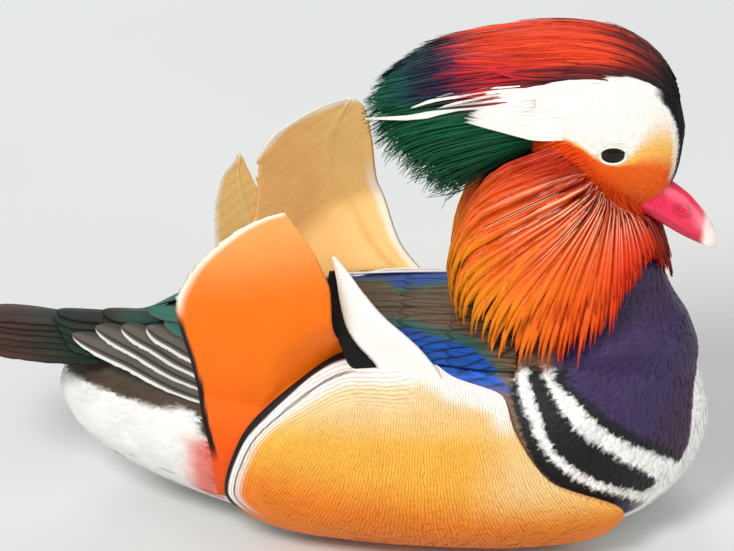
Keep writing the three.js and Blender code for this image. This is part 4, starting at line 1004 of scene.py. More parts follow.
def hackle_markings(end, share, middle):
    """By where the hackle ends around, how far along it is, and 1 at its lock's middle to 0 at the edge."""
    tone = mix(HACKLE_RED, HACKLE_ORANGE, ease(share, 0.1, 0.45) * ease(end, 0.75, 0.55))
    tone = mix(tone, HACKLE_GOLD, ease(share, 0.55, 0.9) * ease(end, 0.56, 0.24))
    tone = mix(tone, HACKLE_TIP, 0.8 * ease(share, 0.84, 1) * ease(end, 0.2, 0.45))
    tone = mix(tone, HACKLE_DARK, 0.75 * ease(end, 0.88, 0.97))
    fan = ease(end, 0.1, 0.2) * ease(end, 0.97, 0.86)
    # painted shade: each lock is darker towards its edges, standing for the shaded gaps between locks
    edge = ease(middle, 0.5, 0.1)
    tone = mix(tone, HACKLE_DARK, edge * (0.25 + 0.65 * fan * ease(share, 0.75, 0.3)))
    shaft = ease(middle, 0.62, 0.9) * (0.15 * ease(share, 0.9, 0.5) + 0.85 * fan * ease(share, 0.58, 0.22))
    return mix(tone, HACKLE_SHAFT, shaft)


HACKLE_V = np.array([0, 0.14, 0.3, 0.48, 0.66, 0.82, 0.93, 1.0])
HACKLE_SHAPE = np.array([0.3, 0.6, 0.85, 1, 0.95, 0.75, 0.4, 0.05])


def hackle_coat(name, way, locks, strands, reach, height, width):
    """Locks of hackles on one side; reach gives how far down their tips come."""
    count = locks * strands
    lock_end = (np.arange(locks) + 0.5) / locks + draw.normal(0, 0.12 / locks, locks)
    lock_low = reach + 0.05 * draw.normal(0, 1, locks)
    lock_begin = np.choose(np.arange(locks) % 4, [0.0, 0.2, 0.07, 0.33]) * ease(lock_end, 0.08, 0.25)
    whose = np.repeat(np.arange(locks), strands)
    offset = draw.uniform(-1, 1, count)
    layer = draw.random(count)
    share = (lock_begin[whose] + 0.12 * layer)[:, None]
    share = share + (1 - 0.16 * draw.random(count)[:, None] ** 2 - share) * HACKLE_V
    gather = 1 - 0.93 * ease(share, 0.66, 1.0)
    end = lock_end[whose][:, None] + offset[:, None] * gather * 0.62 / locks
    around = fan_around(end, share)
    down = 0.015 + (lock_low[whose][:, None] - 0.015) * share
    point, across, out = ruff_frame(around, down)
    local = 0.6 + 3.2 * share ** 0.8 * 40 / locks
    spine_up = height + 0.2 * local * (1 - offset[:, None] ** 2) * ease(share, 0, 0.2) - 0.5 * layer[:, None]
    spine_up = spine_up - (2.6 + height) * ease(share, 0.16, 0)
    path = point + out * spine_up[..., None]
    along = unit(np.gradient(path, axis=1))
    side = unit(np.cross(out, along))
    half = (width * (0.35 + 0.65 * share) * HACKLE_SHAPE * draw.uniform(0.8, 1.2, (count, 1)))[:, :, None, None] / 2
    u = ACROSS[None, None, :, None]
    grid = path[:, :, None] - side[:, :, None] * half * u + out[:, :, None] * (0.12 * (u == 0))
    place = (offset[:, None] * gather)[:, :, None, None] + u * half / local[:, :, None, None]
    shade = out[:, :, None] - side[:, :, None] * (0.5 * place + draw.normal(0, 0.08, (count, 1, 1, 1)))
    middle = 1 - np.abs(place)
    tones = hackle_markings(np.broadcast_to(end[:, :, None], grid.shape[:3]), np.broadcast_to(share[:, :, None], grid.shape[:3]),
                            middle[..., 0]) * draw.normal(1, 0.07, (count, 1, 1, 1))
    if way == RIGHT:
        grid, shade, tones = (part[:, :, ::-1] for part in (grid, shade, tones))
        grid, shade = grid * np.array([1, -1, 1]), shade * np.array([1, -1, 1])
    roots = grid[:, 0, 1]
    return strip_piece(name, grid, shade, tones, skin_surface.unwrap_at(roots), hackle_feather)


fewer = 1
for side_name, way in (("left", LEFT), ("right", RIGHT)):
    hackle_coat(f"hackle_bed_{side_name}", way, 30, 14 // fewer, 0.93, -1.2, 4.5 * fewer)
    hackle_coat(f"hackles_{side_name}", way, 60, 36 // fewer, 0.985, 0.6, 0.85 * fewer)
    hackle_coat(f"hackles_upper_{side_name}", way, 43, 22 // fewer, 0.8, 1.2, 0.85 * fewer)

# %% [markdown]
# A soft fringe of short orange feathers hides where the hackles spring from the cheek.

# %% Fringe of the cheek
fringe_end = np.linspace(0, 1, 60)
fringe_root = ruff_place(fan_around(fringe_end, 0.02), 0.02)
fringe_way = unit(ruff_place(fan_around(fringe_end, 0.16), 0.16) - fringe_root)


def fringe_ways(p):
    """The way of the hackle whose root is nearest."""
    x, y, z = p[..., 0], p[..., 1], p[..., 2]
    away = (x[:, None] - fringe_root[:, 0]) ** 2 + (z[:, None] - fringe_root[:, 2]) ** 2
    return fringe_way[away.argmin(1)] * np.stack([np.ones_like(x), np.sign(y), np.ones_like(x)], -1)


def fringe_markings(p):
    return mix(head_markings(p), HACKLE_RED * 0.6 + HACKLE_ORANGE * 0.4, 0.75)


for side_name, way in (("left", LEFT), ("right", RIGHT)):
    on_this_side = lambda p: p[..., 1] * way >= 0
    over = lambda p: p[..., 2] - hackle_line(p[..., 0])
    near_roots = lambda p: (over(p) > -2 - 4 * ease(p[..., 0], 54, 46)) & (over(p) < 3 - 2.5 * ease(p[..., 0], 58, 50)) & (
        p[..., 0] > 34) & on_this_side(p)
    coat(f"cheek_fringe_{side_name}", near_roots, 0.75 * coarse, 7, 1.0 * coarse, 1.5, fringe_ways, fringe_markings,
         "ruff_feathers", hackle_feather, sunk=0.2, jitter=0.2, roll=0.15, vary=0.06)

# %% [markdown]
# The crest: long silky strands from the forehead and crown that sweep back over the nape. They lie
# on flow lines, ranked from the top line (0) to the nape (1). Each strand covers a part of its flow
# line and its tip bends to the nearest of some hundred locks, so the outline is soft and pointed.
# Colour goes by place: orange-red on top, crimson, a maroon band over the brow, purple-black, then
# teal and green at the tips and below.

# %% Crest strands
crest_lines = [through(keys) for keys in (
    [[94.5, 175.5], [93, 185.5], [84, 195], [71, 199], [59, 199], [50, 194.5], [43.5, 186.5], [40, 177], [39, 168], [37, 160]],
    [[77, 204.5], [69, 206], [60, 206.5], [50, 204.5], [40, 200], [31, 193], [25, 184], [23, 174.5], [25, 164], [28, 152]],
    [[41, 208.5], [34, 206.5], [26, 203], [18, 198.5], [10, 193], [3, 186.5], [-1, 178], [-2, 168], [4, 155.5], [17, 141]],
    [[0, 199], [-6, 194.5], [-11, 190], [-16, 185.5], [-20.5, 181], [-24, 175.5], [-26, 168], [-23, 156], [-10, 142.5],
     [9, 127.5]],
)]
crest_half = curve([[-27, 2], [-18, 7], [0, 11.5], [20, 14], [38, 14], [55, 13], [70, 11.5], [84, 9], [92, 6], [96, 3]])
CREST_RED, CREST_CRIMSON = colour("f0421a"), colour("c81e2c")
CREST_PURPLE, CREST_TEAL, CREST_GREEN = colour("1c1436"), colour("0c5558"), colour("0c6640")


def crest_markings(p):
    x, y, z = p[..., 0], np.abs(p[..., 1]), p[..., 2]
    band = brow_top(np.maximum(x, 30))
    tone = mix(CREST_CRIMSON, CREST_RED, ease(z + 0.12 * x, 193, 207))
    tone = mix(tone, CREST_MAROON, 0.9 * ease(z - band, 6, 1.5) * ease(x, 20, 45))
    tone = mix(tone, CREST_MAROON, 0.95 * ease(x + 0.4 * (z - 195), 62, 82))
    tone = mix(tone, BLACK, np.maximum(ease(z - band, 4, 0) * ease(x, 70, 84), ease(x - 0.3 * (z - 190), 80, 90)))
    tone = mix(tone, CREST_PURPLE, ease(x + 0.3 * (z - 185), 22, 6))
    tone = mix(tone, CREST_TEAL, ease(x, 0, -16))
    low = ease(z, 180, 172) * ease(x, 70, 50)
    return mix(tone, CREST_GREEN, np.maximum(0.8 * ease(x, -10, -22), low))


def crest_flow(rank, across, v):
    """A point of the crest and its way out, by rank, place across (-1 to 1) and share of the flow."""
    keys = [line(np.clip(rank, 0, 1)) for line in crest_lines]
    weights = [-4.5 * (v - 1 / 3) * (v - 2 / 3) * (v - 1), 13.5 * v * (v - 2 / 3) * (v - 1),
               -13.5 * v * (v - 1 / 3) * (v - 1), 4.5 * v * (v - 1 / 3) * (v - 2 / 3)]
    xz = sum(w[..., None] * key for w, key in zip(weights, keys))
    high = np.clip(2 * rank - 1, -1, 1)
    full = (1 - np.abs(high) ** 2.6) ** (1 / 2.6)
    half = crest_half(xz[..., 0]) * (0.3 + 0.7 * full)
    forward = 8 * across ** 2 * ease(rank, 0.4, 0.7) * (1 - v) ** 2
    fall = 4 * across ** 2 * ease(rank, 0.55, 0) * ease(xz[..., 0], 50, 10)
    over = xz[..., 1] - brow_top(np.maximum(xz[..., 0], 30)) + 4
    fall = fall + over * (1 - np.sqrt(1 - 0.98 * across ** 2)) * ease(rank, 0.56, 0.35) * ease(xz[..., 0], 0, 52)
    return np.stack([xz[..., 0] + forward, across * half, xz[..., 1] - fall], -1)


def strand_grid(path, face, wide, shape, thick):
    """Strips along paths (strands, rows, 3), turned to the way face, with a raised middle."""
    along = unit(np.gradient(path, axis=1))
    side = unit(np.cross(face, along))
    up = unit(np.cross(along, side))
    u = ACROSS[None, None, :, None]
    half = (wide[:, None] * shape[None, :] / 2)[..., None, None]
    grid = path[:, :, None] - side[:, :, None] * half * u + up[:, :, None] * thick * (u == 0)
    shade = up[:, :, None] - side[:, :, None] * (0.25 * u + draw.normal(0, 0.16, (len(path), 1, 1, 1)))
    return grid, shade


STRAND_V = np.array([0, 0.16, 0.34, 0.52, 0.7, 0.86, 1])
STRAND_SHAPE = np.array([0.5, 0.9, 1, 0.9, 0.7, 0.4, 0.04])
lock_rank, lock_across = draw.random(240), draw.uniform(-1, 1, 240)


def crest_coat(name, way, count):
    rank = draw.random(count) ** 0.95
    across = way * draw.random(count) ** 0.6
    deep = draw.random(count) ** 2
    away = (rank[:, None] - lock_rank) ** 2 * 6 + (across[:, None] - lock_across) ** 2
    lock = away.argmin(1)
    begin = 0.62 * draw.random(count) ** 1.4
    begin = np.where(draw.random(count) < 0.25, 0, begin)
    last = np.minimum(1.03, begin + draw.uniform(0.38, 0.62, count))
    stops = last > 0.9
    last = np.where(stops, draw.uniform(0.86, 1.03, count) - 0.1 * draw.random(count) ** 3, last)
    v = begin[:, None] + (last - begin)[:, None] * STRAND_V
    pull = 0.8 * (STRAND_V ** 2)[None, :] * np.where(stops, 1, 0.35)[:, None]
    rank_v = rank[:, None] + (lock_rank[lock] - rank)[:, None] * pull
    across_v = (across[:, None] + (lock_across[lock] - across)[:, None] * pull) * (1 - 0.3 * deep[:, None])
    path = crest_flow(rank_v, across_v, v)
    above = crest_flow(np.maximum(rank_v - 0.05, -0.0), across_v, v) - crest_flow(np.minimum(rank_v + 0.05, 1), across_v, v)
    face = unit(above) * (1 - 2 * rank_v)[..., None] * 1.2 + np.stack([0 * across_v, across_v * 1.6, 0 * across_v], -1)
    face = unit(face + 0.15 * unit(above))
    path = path - face * (2.5 * deep + 1.6 * (1 - draw.random(count) ** 2) * (begin == 0))[:, None, None] * (1 - STRAND_V)[None, :, None]
    path = path + draw.normal(0, 0.35, (count, 1, 3)) + draw.normal(0, 0.5, (count, 1, 3)) * (STRAND_V ** 2)[None, :, None]
    grid, shade = strand_grid(path, face, draw.uniform(0.75, 1.25, count) * (1), STRAND_SHAPE, 0.15)
    tones = crest_markings(grid + draw.normal(0, 1, (count, 1, 1, 3)) * [4.5, 1, 1.2]) * draw.normal(1, 0.12, (count, 1, 1, 1))
    piece = strip_piece(name, grid, shade, tones, skin_surface.unwrap_at(path[:, 0]), silky_feather)
    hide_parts("crest")


for side_name, way in (("left", LEFT), ("right", RIGHT)):
    crest_coat(f"crest_strands_{side_name}", way, 5100 // fewer)

# %% [markdown]
# The white brow ends behind the head in a ragged fringe over the green, with two long thin plumes.
# Its strands follow lines between an upper and a lower edge.

# %% White brow
brow_upper = through([[72, 10.5, 190.5], [56, 12.5, 190.5], [42, 13.5, 188], [30, 13.5, 184.5], [18, 12.5, 181]])
brow_lower = through([[66, 16.5, 168], [54, 16, 167], [41, 15, 166], [28, 14.5, 168.5], [12, 13, 171.5]])
upper_plume = through([[40, 13.8, 185.5], [26, 13.2, 184.2], [15, 12.2, 183], [4, 11.5, 180.3], [-7.5, 10.5, 175.2]])
lower_plume = through([[40, 14.6, 180], [25, 13.6, 180], [10.5, 12.4, 177.6], [-5, 10.8, 171.6], [-25.5, 8, 168.6]])


def brow_coat(name, way, count):
    share_low = draw.random(count) ** 0.9
    begin = 0.7 * draw.random(count)
    last = np.minimum(1, begin + draw.uniform(0.3, 0.5, count))
    last = np.where(last > 0.8, draw.uniform(0.66, 1.0, count) - 0.12 * ease(share_low, 0.3, 0), last)
    share = begin[:, None] + (last - begin)[:, None] * STRAND_V
    path = mix(brow_upper(share), brow_lower(share), share_low[:, None] * np.ones_like(share))
    for plume, part in ((upper_plume, 0.07), (lower_plume, 0.22)):
        chosen = draw.random(count) < part
        spread = draw.normal(0, 1, (count, 1))
        start = 0.45 * draw.random(count)[:, None]
        run = start + (1 - 0.35 * draw.random(count)[:, None] ** 2 - start) * STRAND_V
        line = plume(run)
        line[..., 2] += spread * 1.1 * (1 - run) ** 1.2 + spread * 0.12
        path = np.where(chosen[:, None, None], line, path)
    path[..., 1] = (path[..., 1] + 0.5 * draw.random(count)[:, None]) * way
    face = np.broadcast_to(np.array([0, way, 0.25]), path.shape)
    grid, shade = strand_grid(path, face, draw.uniform(0.8, 1.3, count) * (1), STRAND_SHAPE, 0.12)
    tones = np.broadcast_to(FACE_WHITE, grid.shape) * draw.normal(1, 0.02, (count, 1, 1, 1))
    return strip_piece(name, grid, shade, tones, skin_surface.unwrap_at(path[:, 0]), velvet_feather)


for side_name, way in (("left", LEFT), ("right", RIGHT)):
    brow_coat(f"brow_plumes_{side_name}", way, 1500 // fewer)
# %% [markdown]
# Larger feathers. A flight feather is a vane on both sides of a shaft. Each is a sheet with two
# faces, bent along a spine and laid on the body, and tapers at its rim. Its own map runs across and
# along it, so that barbs, shaft and coloured edges can follow it.

# %% Sheets and vanes


def sheet_faces(rows, columns, first):
    index = np.arange(rows * columns).reshape(rows, columns)
    upper = np.stack([index[:-1, :-1], index[:-1, 1:], index[1:, 1:], index[1:, :-1]], -1).reshape(-1, 4)
    rim = np.zeros((rows, columns), bool)
    rim[0] = rim[-1] = True
    rim[:, 0] = rim[:, -1] = True
    under = np.where(rim, index, 0)
    under[~rim] = rows * columns + np.arange((~rim).sum())
    lower = np.stack([under[:-1, :-1], under[1:, :-1], under[1:, 1:], under[:-1, 1:]], -1).reshape(-1, 4)
    return upper + first, lower + first, rim


def sheets_piece(name, sheets, material, cells=8):
    """One piece of many sheets: each is (grid, thickness, markings above, markings below)."""
    points, quads, marks, barbs, bake = [], [], [], [], []
    first = 0
    for number, (grid, thick, upper_tone, lower_tone) in enumerate(sheets):
        rows, columns, _ = grid.shape
        upper, lower, rim = sheet_faces(rows, columns, first)
        out = unit(np.cross(np.gradient(grid, axis=1), np.gradient(grid, axis=0)))
        half = np.where(rim, 0, 0.5)[..., None] * np.asarray(thick)[..., None] * np.ones((rows, columns, 1))
        v, u = np.meshgrid(np.linspace(0, 1, rows), np.linspace(0, 1, columns), indexing="ij")
        uv = np.stack([u, v], -1)
        cell = np.array([number % cells, number // cells]) / cells
        points += [(grid + out * half).reshape(-1, 3), (grid - out * half)[~rim]]
        marks += [upper_tone.reshape(-1, 3), lower_tone[~rim]]
        barbs += [uv.reshape(-1, 2), uv[~rim]]
        shrunk = cell + (0.04 + uv * np.array([0.44, 0.92])) / cells
        bake += [shrunk.reshape(-1, 2), (shrunk + np.array([0.48 / cells, 0]))[~rim]]
        quads += [upper, lower]
        first += rows * columns + int((~rim).sum())
    none = np.zeros((0, 3), int)
    return make_piece(name, np.concatenate(points), np.concatenate(quads), none, material,
                      np.clip(np.concatenate(marks), 0, 1), np.concatenate(barbs), np.concatenate(bake))


def barb_grid(rows, columns):
    v, u = np.meshgrid(np.linspace(0, 1, rows), np.linspace(-1, 1, columns), indexing="ij")
    return u, v


def vane_grid(points, face, wide, shape, rows=26, columns=11, lay=None, curl=0.0, ragged=0.0):
    """The middle surface of a feather along a spine of points, its upper side turned to face."""
    u, v = barb_grid(rows, columns)
    path = through(points)(v[:, 0])
    along = unit(np.gradient(path, axis=0))
    left = unit(np.cross(np.asarray(face, float), along))
    up = unit(np.cross(along, left))
    half = (shape(v) * wide / 2) * (1 + ragged * draw.normal(0, 1, (rows, columns)) * (np.abs(u) > 0.99))
    grid = path[:, None] + left[:, None] * (half * u)[..., None] - up[:, None] * (curl * half * u ** 2)[..., None]
    return lay(grid) if lay else grid


def broad_shape(v):
    return (0.55 + 0.45 * np.minimum(1, 2.5 * v)) * np.sqrt(np.maximum(0.004, 1 - np.maximum(0, (v - 0.7) / 0.3) ** 2))


# %% [markdown]
# The sails: one inner feather of each wing, its inner vane blown up into a broad raised fan. Their
# feet lie on the body, tucked under the flank's edge, and the fans bow out and lean in. Orange, with
# a pale frayed rim behind and a black line below it; the far one shows its inner face, painted paler
# than the outer, partly as its own colour and partly as painted light, with a painted shadow along a fold.

# %% Sails
SAILS = {
    RIGHT: [{
        "hind": [[22, -80], [40, -82], [57, -87], [75, -90.5], [99, -96.4], [112, -91.5], [129, -77.8],
                 [141, -62.3], [145, -53]],
        "front": [[22, -74], [40, -66], [52, -57], [66, -40], [78, -27], [90, -32.8], [101, -34], [116, -34.8],
                  [124, -38], [131, -41.5], [138, -47], [145, -53]],
        "flare": 0,
    }],
    LEFT: [{
        "hind": [[22, -80], [57, -84], [78, -82], [100, -74], [125, -72.4], [134, -67.5], [143, -55.4],
                 [149, -43.5], [151.5, -35]],
        "front": [[22, -74], [40, -66], [52, -57], [66, -38], [76, 0], [81, -5], [91, -15.5], [102, -21.6],
                  [113, -26], [131, -27.6], [147, -30.8], [151.5, -35]],
        "flare": 0,
    }, {
        "hind": [[56, -87], [75, -90], [99, -90.5], [115, -88], [127, -79.6]],
        "front": [[56, -70], [90, -66], [107, -72.6], [127, -79.6]],
        "flare": 3,
    }],
}
SAIL_THICK, SAIL_LEAVES, SAIL_LEAN = 0.8, 60, 0.09
SAIL_ORANGE, SAIL_DEEP, SAIL_PALE = colour("f87200"), colour("f05404"), colour("ffd284")
SAIL_CREAM, SAIL_LINE = colour("fdf3dc"), colour("0e0a08")
sail_leaves = curve([[-100, 60], [-64, 60], [-53, 67], [-40, 74.5], [-28, 78], [-10, 80], [0, 80]])


def sail_sheet(lobe, way, rows=90, columns=41):
    hind_edge, front_edge = curve(lobe["hind"]), curve(lobe["front"])
    low, high = lobe["hind"][0][0], lobe["hind"][-1][0]
    flare = lobe["flare"]
    u, v = barb_grid(rows, columns)
    z = low + (high - low) * v
    hind, front = hind_edge(z), front_edge(z)
    fray = draw.normal(0, 0.35, (rows, 1)) * ease(z, 84, 98) * ease(z, 146, 136)
    x = (hind + front) / 2 + u * (front - hind) / 2 + fray * ease(u, -0.9, -1)
    share, _ = flank_share(np.stack([x, 0 * x, z], -1))
    lift = 1.9 + 1.0 * ease(share, 1.0, 1.25) + 0.2 * flare
    leaves = sail_leaves(x)
    foot = on_side(np.minimum(x, -20), np.minimum(z, leaves), lift, way)
    side = on_side(np.minimum(x, -30), np.minimum(z, SAIL_LEAVES), 4.4 + 0.2 * flare, way)
    rise = np.maximum(z - SAIL_LEAVES, 0)
    bow = 2.5 * np.sin(np.pi * np.clip(rise / (high - SAIL_LEAVES), 0, 1))
    stands = side[..., 1] + way * (bow - SAIL_LEAN * rise + flare * (rise / 60) ** 2)
    stands += way * 0.05 * np.sin((z - 0.8 * x) * 1.1)
    y = foot[..., 1] + (stands - foot[..., 1]) * ease(z - leaves, 0, 30)
    laid = foot[..., 2] - np.minimum(z, leaves)
    return np.stack([x, y, z + laid * ease(z - leaves, 20, 0)], -1), x, z, u


def sail_tones(x, z, lobe):
    """Vivid orange outside; inside paler, partly painted light, with a painted shadow along a fold; behind a pale rim
    above and a black line below.
    """
    behind = x - curve(lobe["hind"])(z)
    ahead = curve(lobe["front"])(z) - x
    outer = mix(SAIL_ORANGE, SAIL_DEEP, ease(z, 80, 35))
    outer = mix(outer, SAIL_PALE, 0.5 * ease(z - 0.3 * x, 122, 165))
    outer = mix(outer, SAIL_CREAM, ease(behind, 4.2, 1.2) * ease(z, 92, 102))
    outer = mix(outer, SAIL_LINE, ease(behind, 2.9, 2.3) * ease(z, 97, 90) * ease(z, 36, 44))
    broad = float(lobe["flare"] == 0)
    # inner face painted pale: partly its own paler orange, partly painted light
    inner = mix(SAIL_PALE, SAIL_ORANGE, 0.16 * ease(ahead, 12, 30) * broad)
    # painted shadow of a fold, a darker band about 12 mm behind the front edge of the inner face
    inner = mix(inner, SAIL_PALE * np.array([0.8, 0.62, 0.4]), ease(np.abs(ahead - 12 - 0.12 * (z - 80)), 3, 0.5)
                * ease(z, 112, 90) * 0.6 * broad)
    inner = mix(inner, SAIL_CREAM, ease(ahead, 5, 3) * ease(z, 124, 108) * ease(z, 76, 82) * broad)
    inner = mix(inner, SAIL_CREAM, ease(behind, 2.4, 0.8) * (1 - broad))
    top = curve([[-80, 122], [-72, 127], [-60, 140], [-44, 148.5], [-36, 151]])
    return outer, mix(inner, SAIL_CREAM, ease(z - top(x), -3.0, -1.0) * broad)


for side_name, way in (("left", LEFT), ("right", RIGHT)):
    made = []
    for lobe in SAILS[way]:
        grid, x, z, u = sail_sheet(lobe, way)
        outer, inner = sail_tones(x, z, lobe)
        shown = (inner, outer) if way == LEFT else (outer, inner)
        made.append((grid, SAIL_THICK * (0.55 + 0.45 * (np.abs(u - 0.2) < 0.05)), *shown))
    piece = sheets_piece(f"sail_vanes_{side_name}", made, vane_feather, cells=2)
    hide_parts(f"sail_{side_name}")

# %% [markdown]
# Folded flight feathers. The primaries lie over the rump in steps, grey-brown, each with a thin
# white outer edge; the coverts above them are glossed with teal. Their barbs are close and stiff.

# %% Wings
WING_LEAVES_X, WING_FREE_X = -98, -120
PRIMARIES = [
    {"root": [-60, 46, 57], "bend": [-92, 36.5, 61], "free": [-118, 22, 65], "tip": [-141, 13, 69.5], "wide": 11},
    {"root": [-60, 45, 60], "bend": [-92, 33, 65], "free": [-114, 19, 68.5], "tip": [-132, 9.5, 71.5], "wide": 11},
    {"root": [-60, 44, 63], "bend": [-92, 29.5, 68.5], "free": [-108, 18, 71], "tip": [-121.5, 10, 72.5], "wide": 11},
    {"root": [-60, 43, 66], "bend": [-90, 26.5, 71.5], "free": [-101, 19, 73.5], "tip": [-111, 12, 75], "wide": 11},
    {"root": [-56, 41, 69], "bend": [-84, 24, 75.5], "free": [-94, 16, 77.5], "tip": [-104, 8, 78], "wide": 13},
    {"root": [-54, 34, 72], "bend": [-82, 17, 78], "free": [-95, 9, 79], "tip": [-112, 3, 78.5], "wide": 12},
]
WING_DROP = {RIGHT: 0, LEFT: 7}
FLIGHT_GREY, FLIGHT_DARK, FLIGHT_WHITE = colour("6a6258"), colour("1c1a18"), colour("f6f4ee")
WING_TEAL = colour("1a7264")


def lay_wing(lift):
    def lay(grid):
        x = grid[..., 0]
        near = grid.copy()
        near[..., 0] = np.maximum(x, WING_FREE_X)
        laid = on_body(near, lift * (0.25 + 0.75 * ease(x, -80, -95)))
        share = ease(x, WING_LEAVES_X, WING_FREE_X)
        laid[..., 0] = x
        return np.concatenate([x[..., None], mix(laid, grid, share)[..., 1:]], -1)
    return lay


def wing_sheets(way):
    made = []
    for i, feather in enumerate(PRIMARIES):
        points = []
        for j, key in enumerate(("root", "bend", "free", "tip")):
            x, y, z = feather[key]
            drop = WING_DROP[way] * j / 3
            points.append([x, way * (y + 0.6 * drop), z - drop + 2.2 * ease(x, -80, -100)])
        grid = vane_grid(points, [0, way * 0.5, 0.87], feather["wide"], broad_shape, rows=40, columns=21,
                         lay=lay_wing(1.0 + i * 0.95), ragged=0.02)
        u, v = barb_grid(*grid.shape[:2])
        out = -way * u
        tone = mix(np.broadcast_to(FLIGHT_GREY, grid.shape), FLIGHT_DARK, ease(out, -0.1, -0.8) * 0.7)
        tone = mix(tone, FLIGHT_DARK, ease(np.abs(out - 0.48), 0.12, 0.05))
        if i < 4:
            tone = mix(tone, FLIGHT_WHITE, ease(out, 0.7, 0.76) * ease(v, 0.06, 0.12) * ease(v, 1.0, 0.95))
        else:
            tone = mix(tone, WING_TEAL, 0.85 * ease(v, 0.1, 0.4) * ease(np.abs(u), 1.0, 0.8))
        # painted shade: the underside is a darker copy of the upper side's markings
        made.append((grid, 0.55 + 0 * u, tone, tone * 0.8))
    return made


for side_name, way in (("left", LEFT), ("right", RIGHT)):
    piece = sheets_piece(f"flight_vanes_{side_name}", wing_sheets(way), vane_feather, cells=4)
    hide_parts(f"wing_{side_name}")

# %% [markdown]
# The tail: fourteen feathers in a low roof, the middle pair on top, with two rows of coverts over
# their roots. Dark olive-brown, glossed with green in the middle and red-brown at the tips.

# %% Tail
TAIL_ROOT_X, TAIL_LEVEL, TAIL_FALL, TAIL_HALF = -100, 73, 11.5, 26
OLIVE, TAIL_GREEN, TAIL_BROWN = colour("261c14"), colour("14281c"), colour("402018")


def tail_roof(x, y, lift):
    flat = 1 - 0.6 * ease(x, -115, -180)
    return np.stack([x, y, TAIL_LEVEL + lift - flat * TAIL_FALL * (np.abs(y) / TAIL_HALF) ** 1.3], -1)


def tail_row(count, tip_x, half, wide, lift, step, tone_root, tone_tip):
    made = []
    for k in sorted(range(count), key=lambda k: -abs(k - (count - 1) / 2)):
        rank = (k - (count - 1) / 2) / ((count - 1) / 2)
        out = rank * (half - wide * 0.42)
        reach = tip_x - TAIL_ROOT_X + 7 * rank ** 2 + draw.normal(0, 0.7)
        u, v = barb_grid(30, 13)
        notch = 1 + 0.03 * draw.normal(0, 1, u.shape) * (np.abs(u) > 0.99)
        y = out * (0.4 + 0.42 * np.sin(v * np.pi / 2)) + u * notch * broad_shape(v) * wide / 2
        grid = tail_roof(TAIL_ROOT_X + reach * v, y, lift - step * abs(rank) - 0.5 * u ** 2 * np.abs(rank))
        tone = mix(np.broadcast_to(tone_root, grid.shape), tone_tip, ease(v, 0.45, 0.95))
        tone = tone * (1 + 0.25 * np.sin(9 * v + 2.5 * k))[..., None] * draw.normal(1, 0.08)
        tone = mix(tone, tone * 0.35, ease(np.abs(u), 0.12, 0.04) * 0.9)
        tone = mix(tone, tone * 1.5, ease(np.abs(u), 0.8, 1) * 0.4)
        # painted shade: the underside is a darker copy of the upper side's markings
        made.append((grid, 0.5 + 0 * u, tone, tone * 0.7))
    return made


rows = tail_row(14, -183.5, TAIL_HALF, 10.5, 0, 3.6, TAIL_GREEN, TAIL_BROWN)
rows += tail_row(9, -150, 21, 11.5, 1.3, 2.6, OLIVE, TAIL_GREEN)
rows += tail_row(7, -130, 18, 12.5, 2.5, 2.2, colour("1c4438"), OLIVE)
tail_piece = sheets_piece("tail_vanes", rows, vane_feather, cells=6)
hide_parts("tail")

# %% [markdown]
# Scapulars: small broad feathers over the shoulder in tiers, coloured by where they lie, brown to
# cobalt towards the flank. In front of each sail stands a long white one, with a black one behind
# it that shows as a crescent.

# %% Scapulars
SCAPULAR_TIERS = [
    {"root": 10, "tip": -56, "lift": 0.5, "rows": [2.5, 7, 12, 17, 22, 27, 32, 37]},
    {"root": 20, "tip": -34, "lift": 0.8, "rows": [3, 8.5, 14, 19, 24, 29, 34, 38.5]},
    {"root": 30, "tip": -12, "lift": 1.1, "rows": [4.5, 10.5, 16, 21.5, 27, 32, 36.5, 41]},
    {"root": 36, "tip": 8, "lift": 1.4, "rows": [24, 29, 34, 39, 44]},
]
BLADES = {
    RIGHT: [
        (41.5, BLACK, [[-25.3, 75.8], [-29, 79.3], [-31.8, 86], [-33.8, 91.5], [-37.2, 99], [-37.6, 109.5], [-36.2, 117.7]],
         [[-14.3, 76.4], [-18, 79.8], [-24.2, 85.3], [-27.8, 92.4], [-30.9, 102.5], [-32.5, 109.7], [-34.7, 117.8]]),
        (42.5, WHITE, [[-14.2, 73], [-19.5, 81.7], [-25.9, 88.8], [-29.6, 94.9], [-32.2, 105.1], [-33.8, 115.3], [-35.3, 124.4]],
         [[9, 73], [5.6, 79], [-2.4, 88.9], [-14.3, 99.7], [-23.4, 110.6], [-28.8, 117.5], [-34.7, 124.4]]),
    ],
    LEFT: [
        (33, BLACK, [[-10, 72], [-20, 74], [-30, 76], [-36, 79]], [[2, 74], [-12, 77.5], [-24, 79], [-35, 80]]),
        (30, WHITE, [[2, 72], [-12, 75], [-24, 78], [-34, 80]], [[14, 75.5], [-2, 85], [-18, 85], [-33, 82]]),
    ],
}


def lay_back(lift):
    def lay(grid):
        x = grid[..., 0]
        near = np.stack([x, grid[..., 1], widest(x) + (back(x) - widest(x)) * 0.9], -1)
        return on_body(near, lift + 0 * x)
    return lay


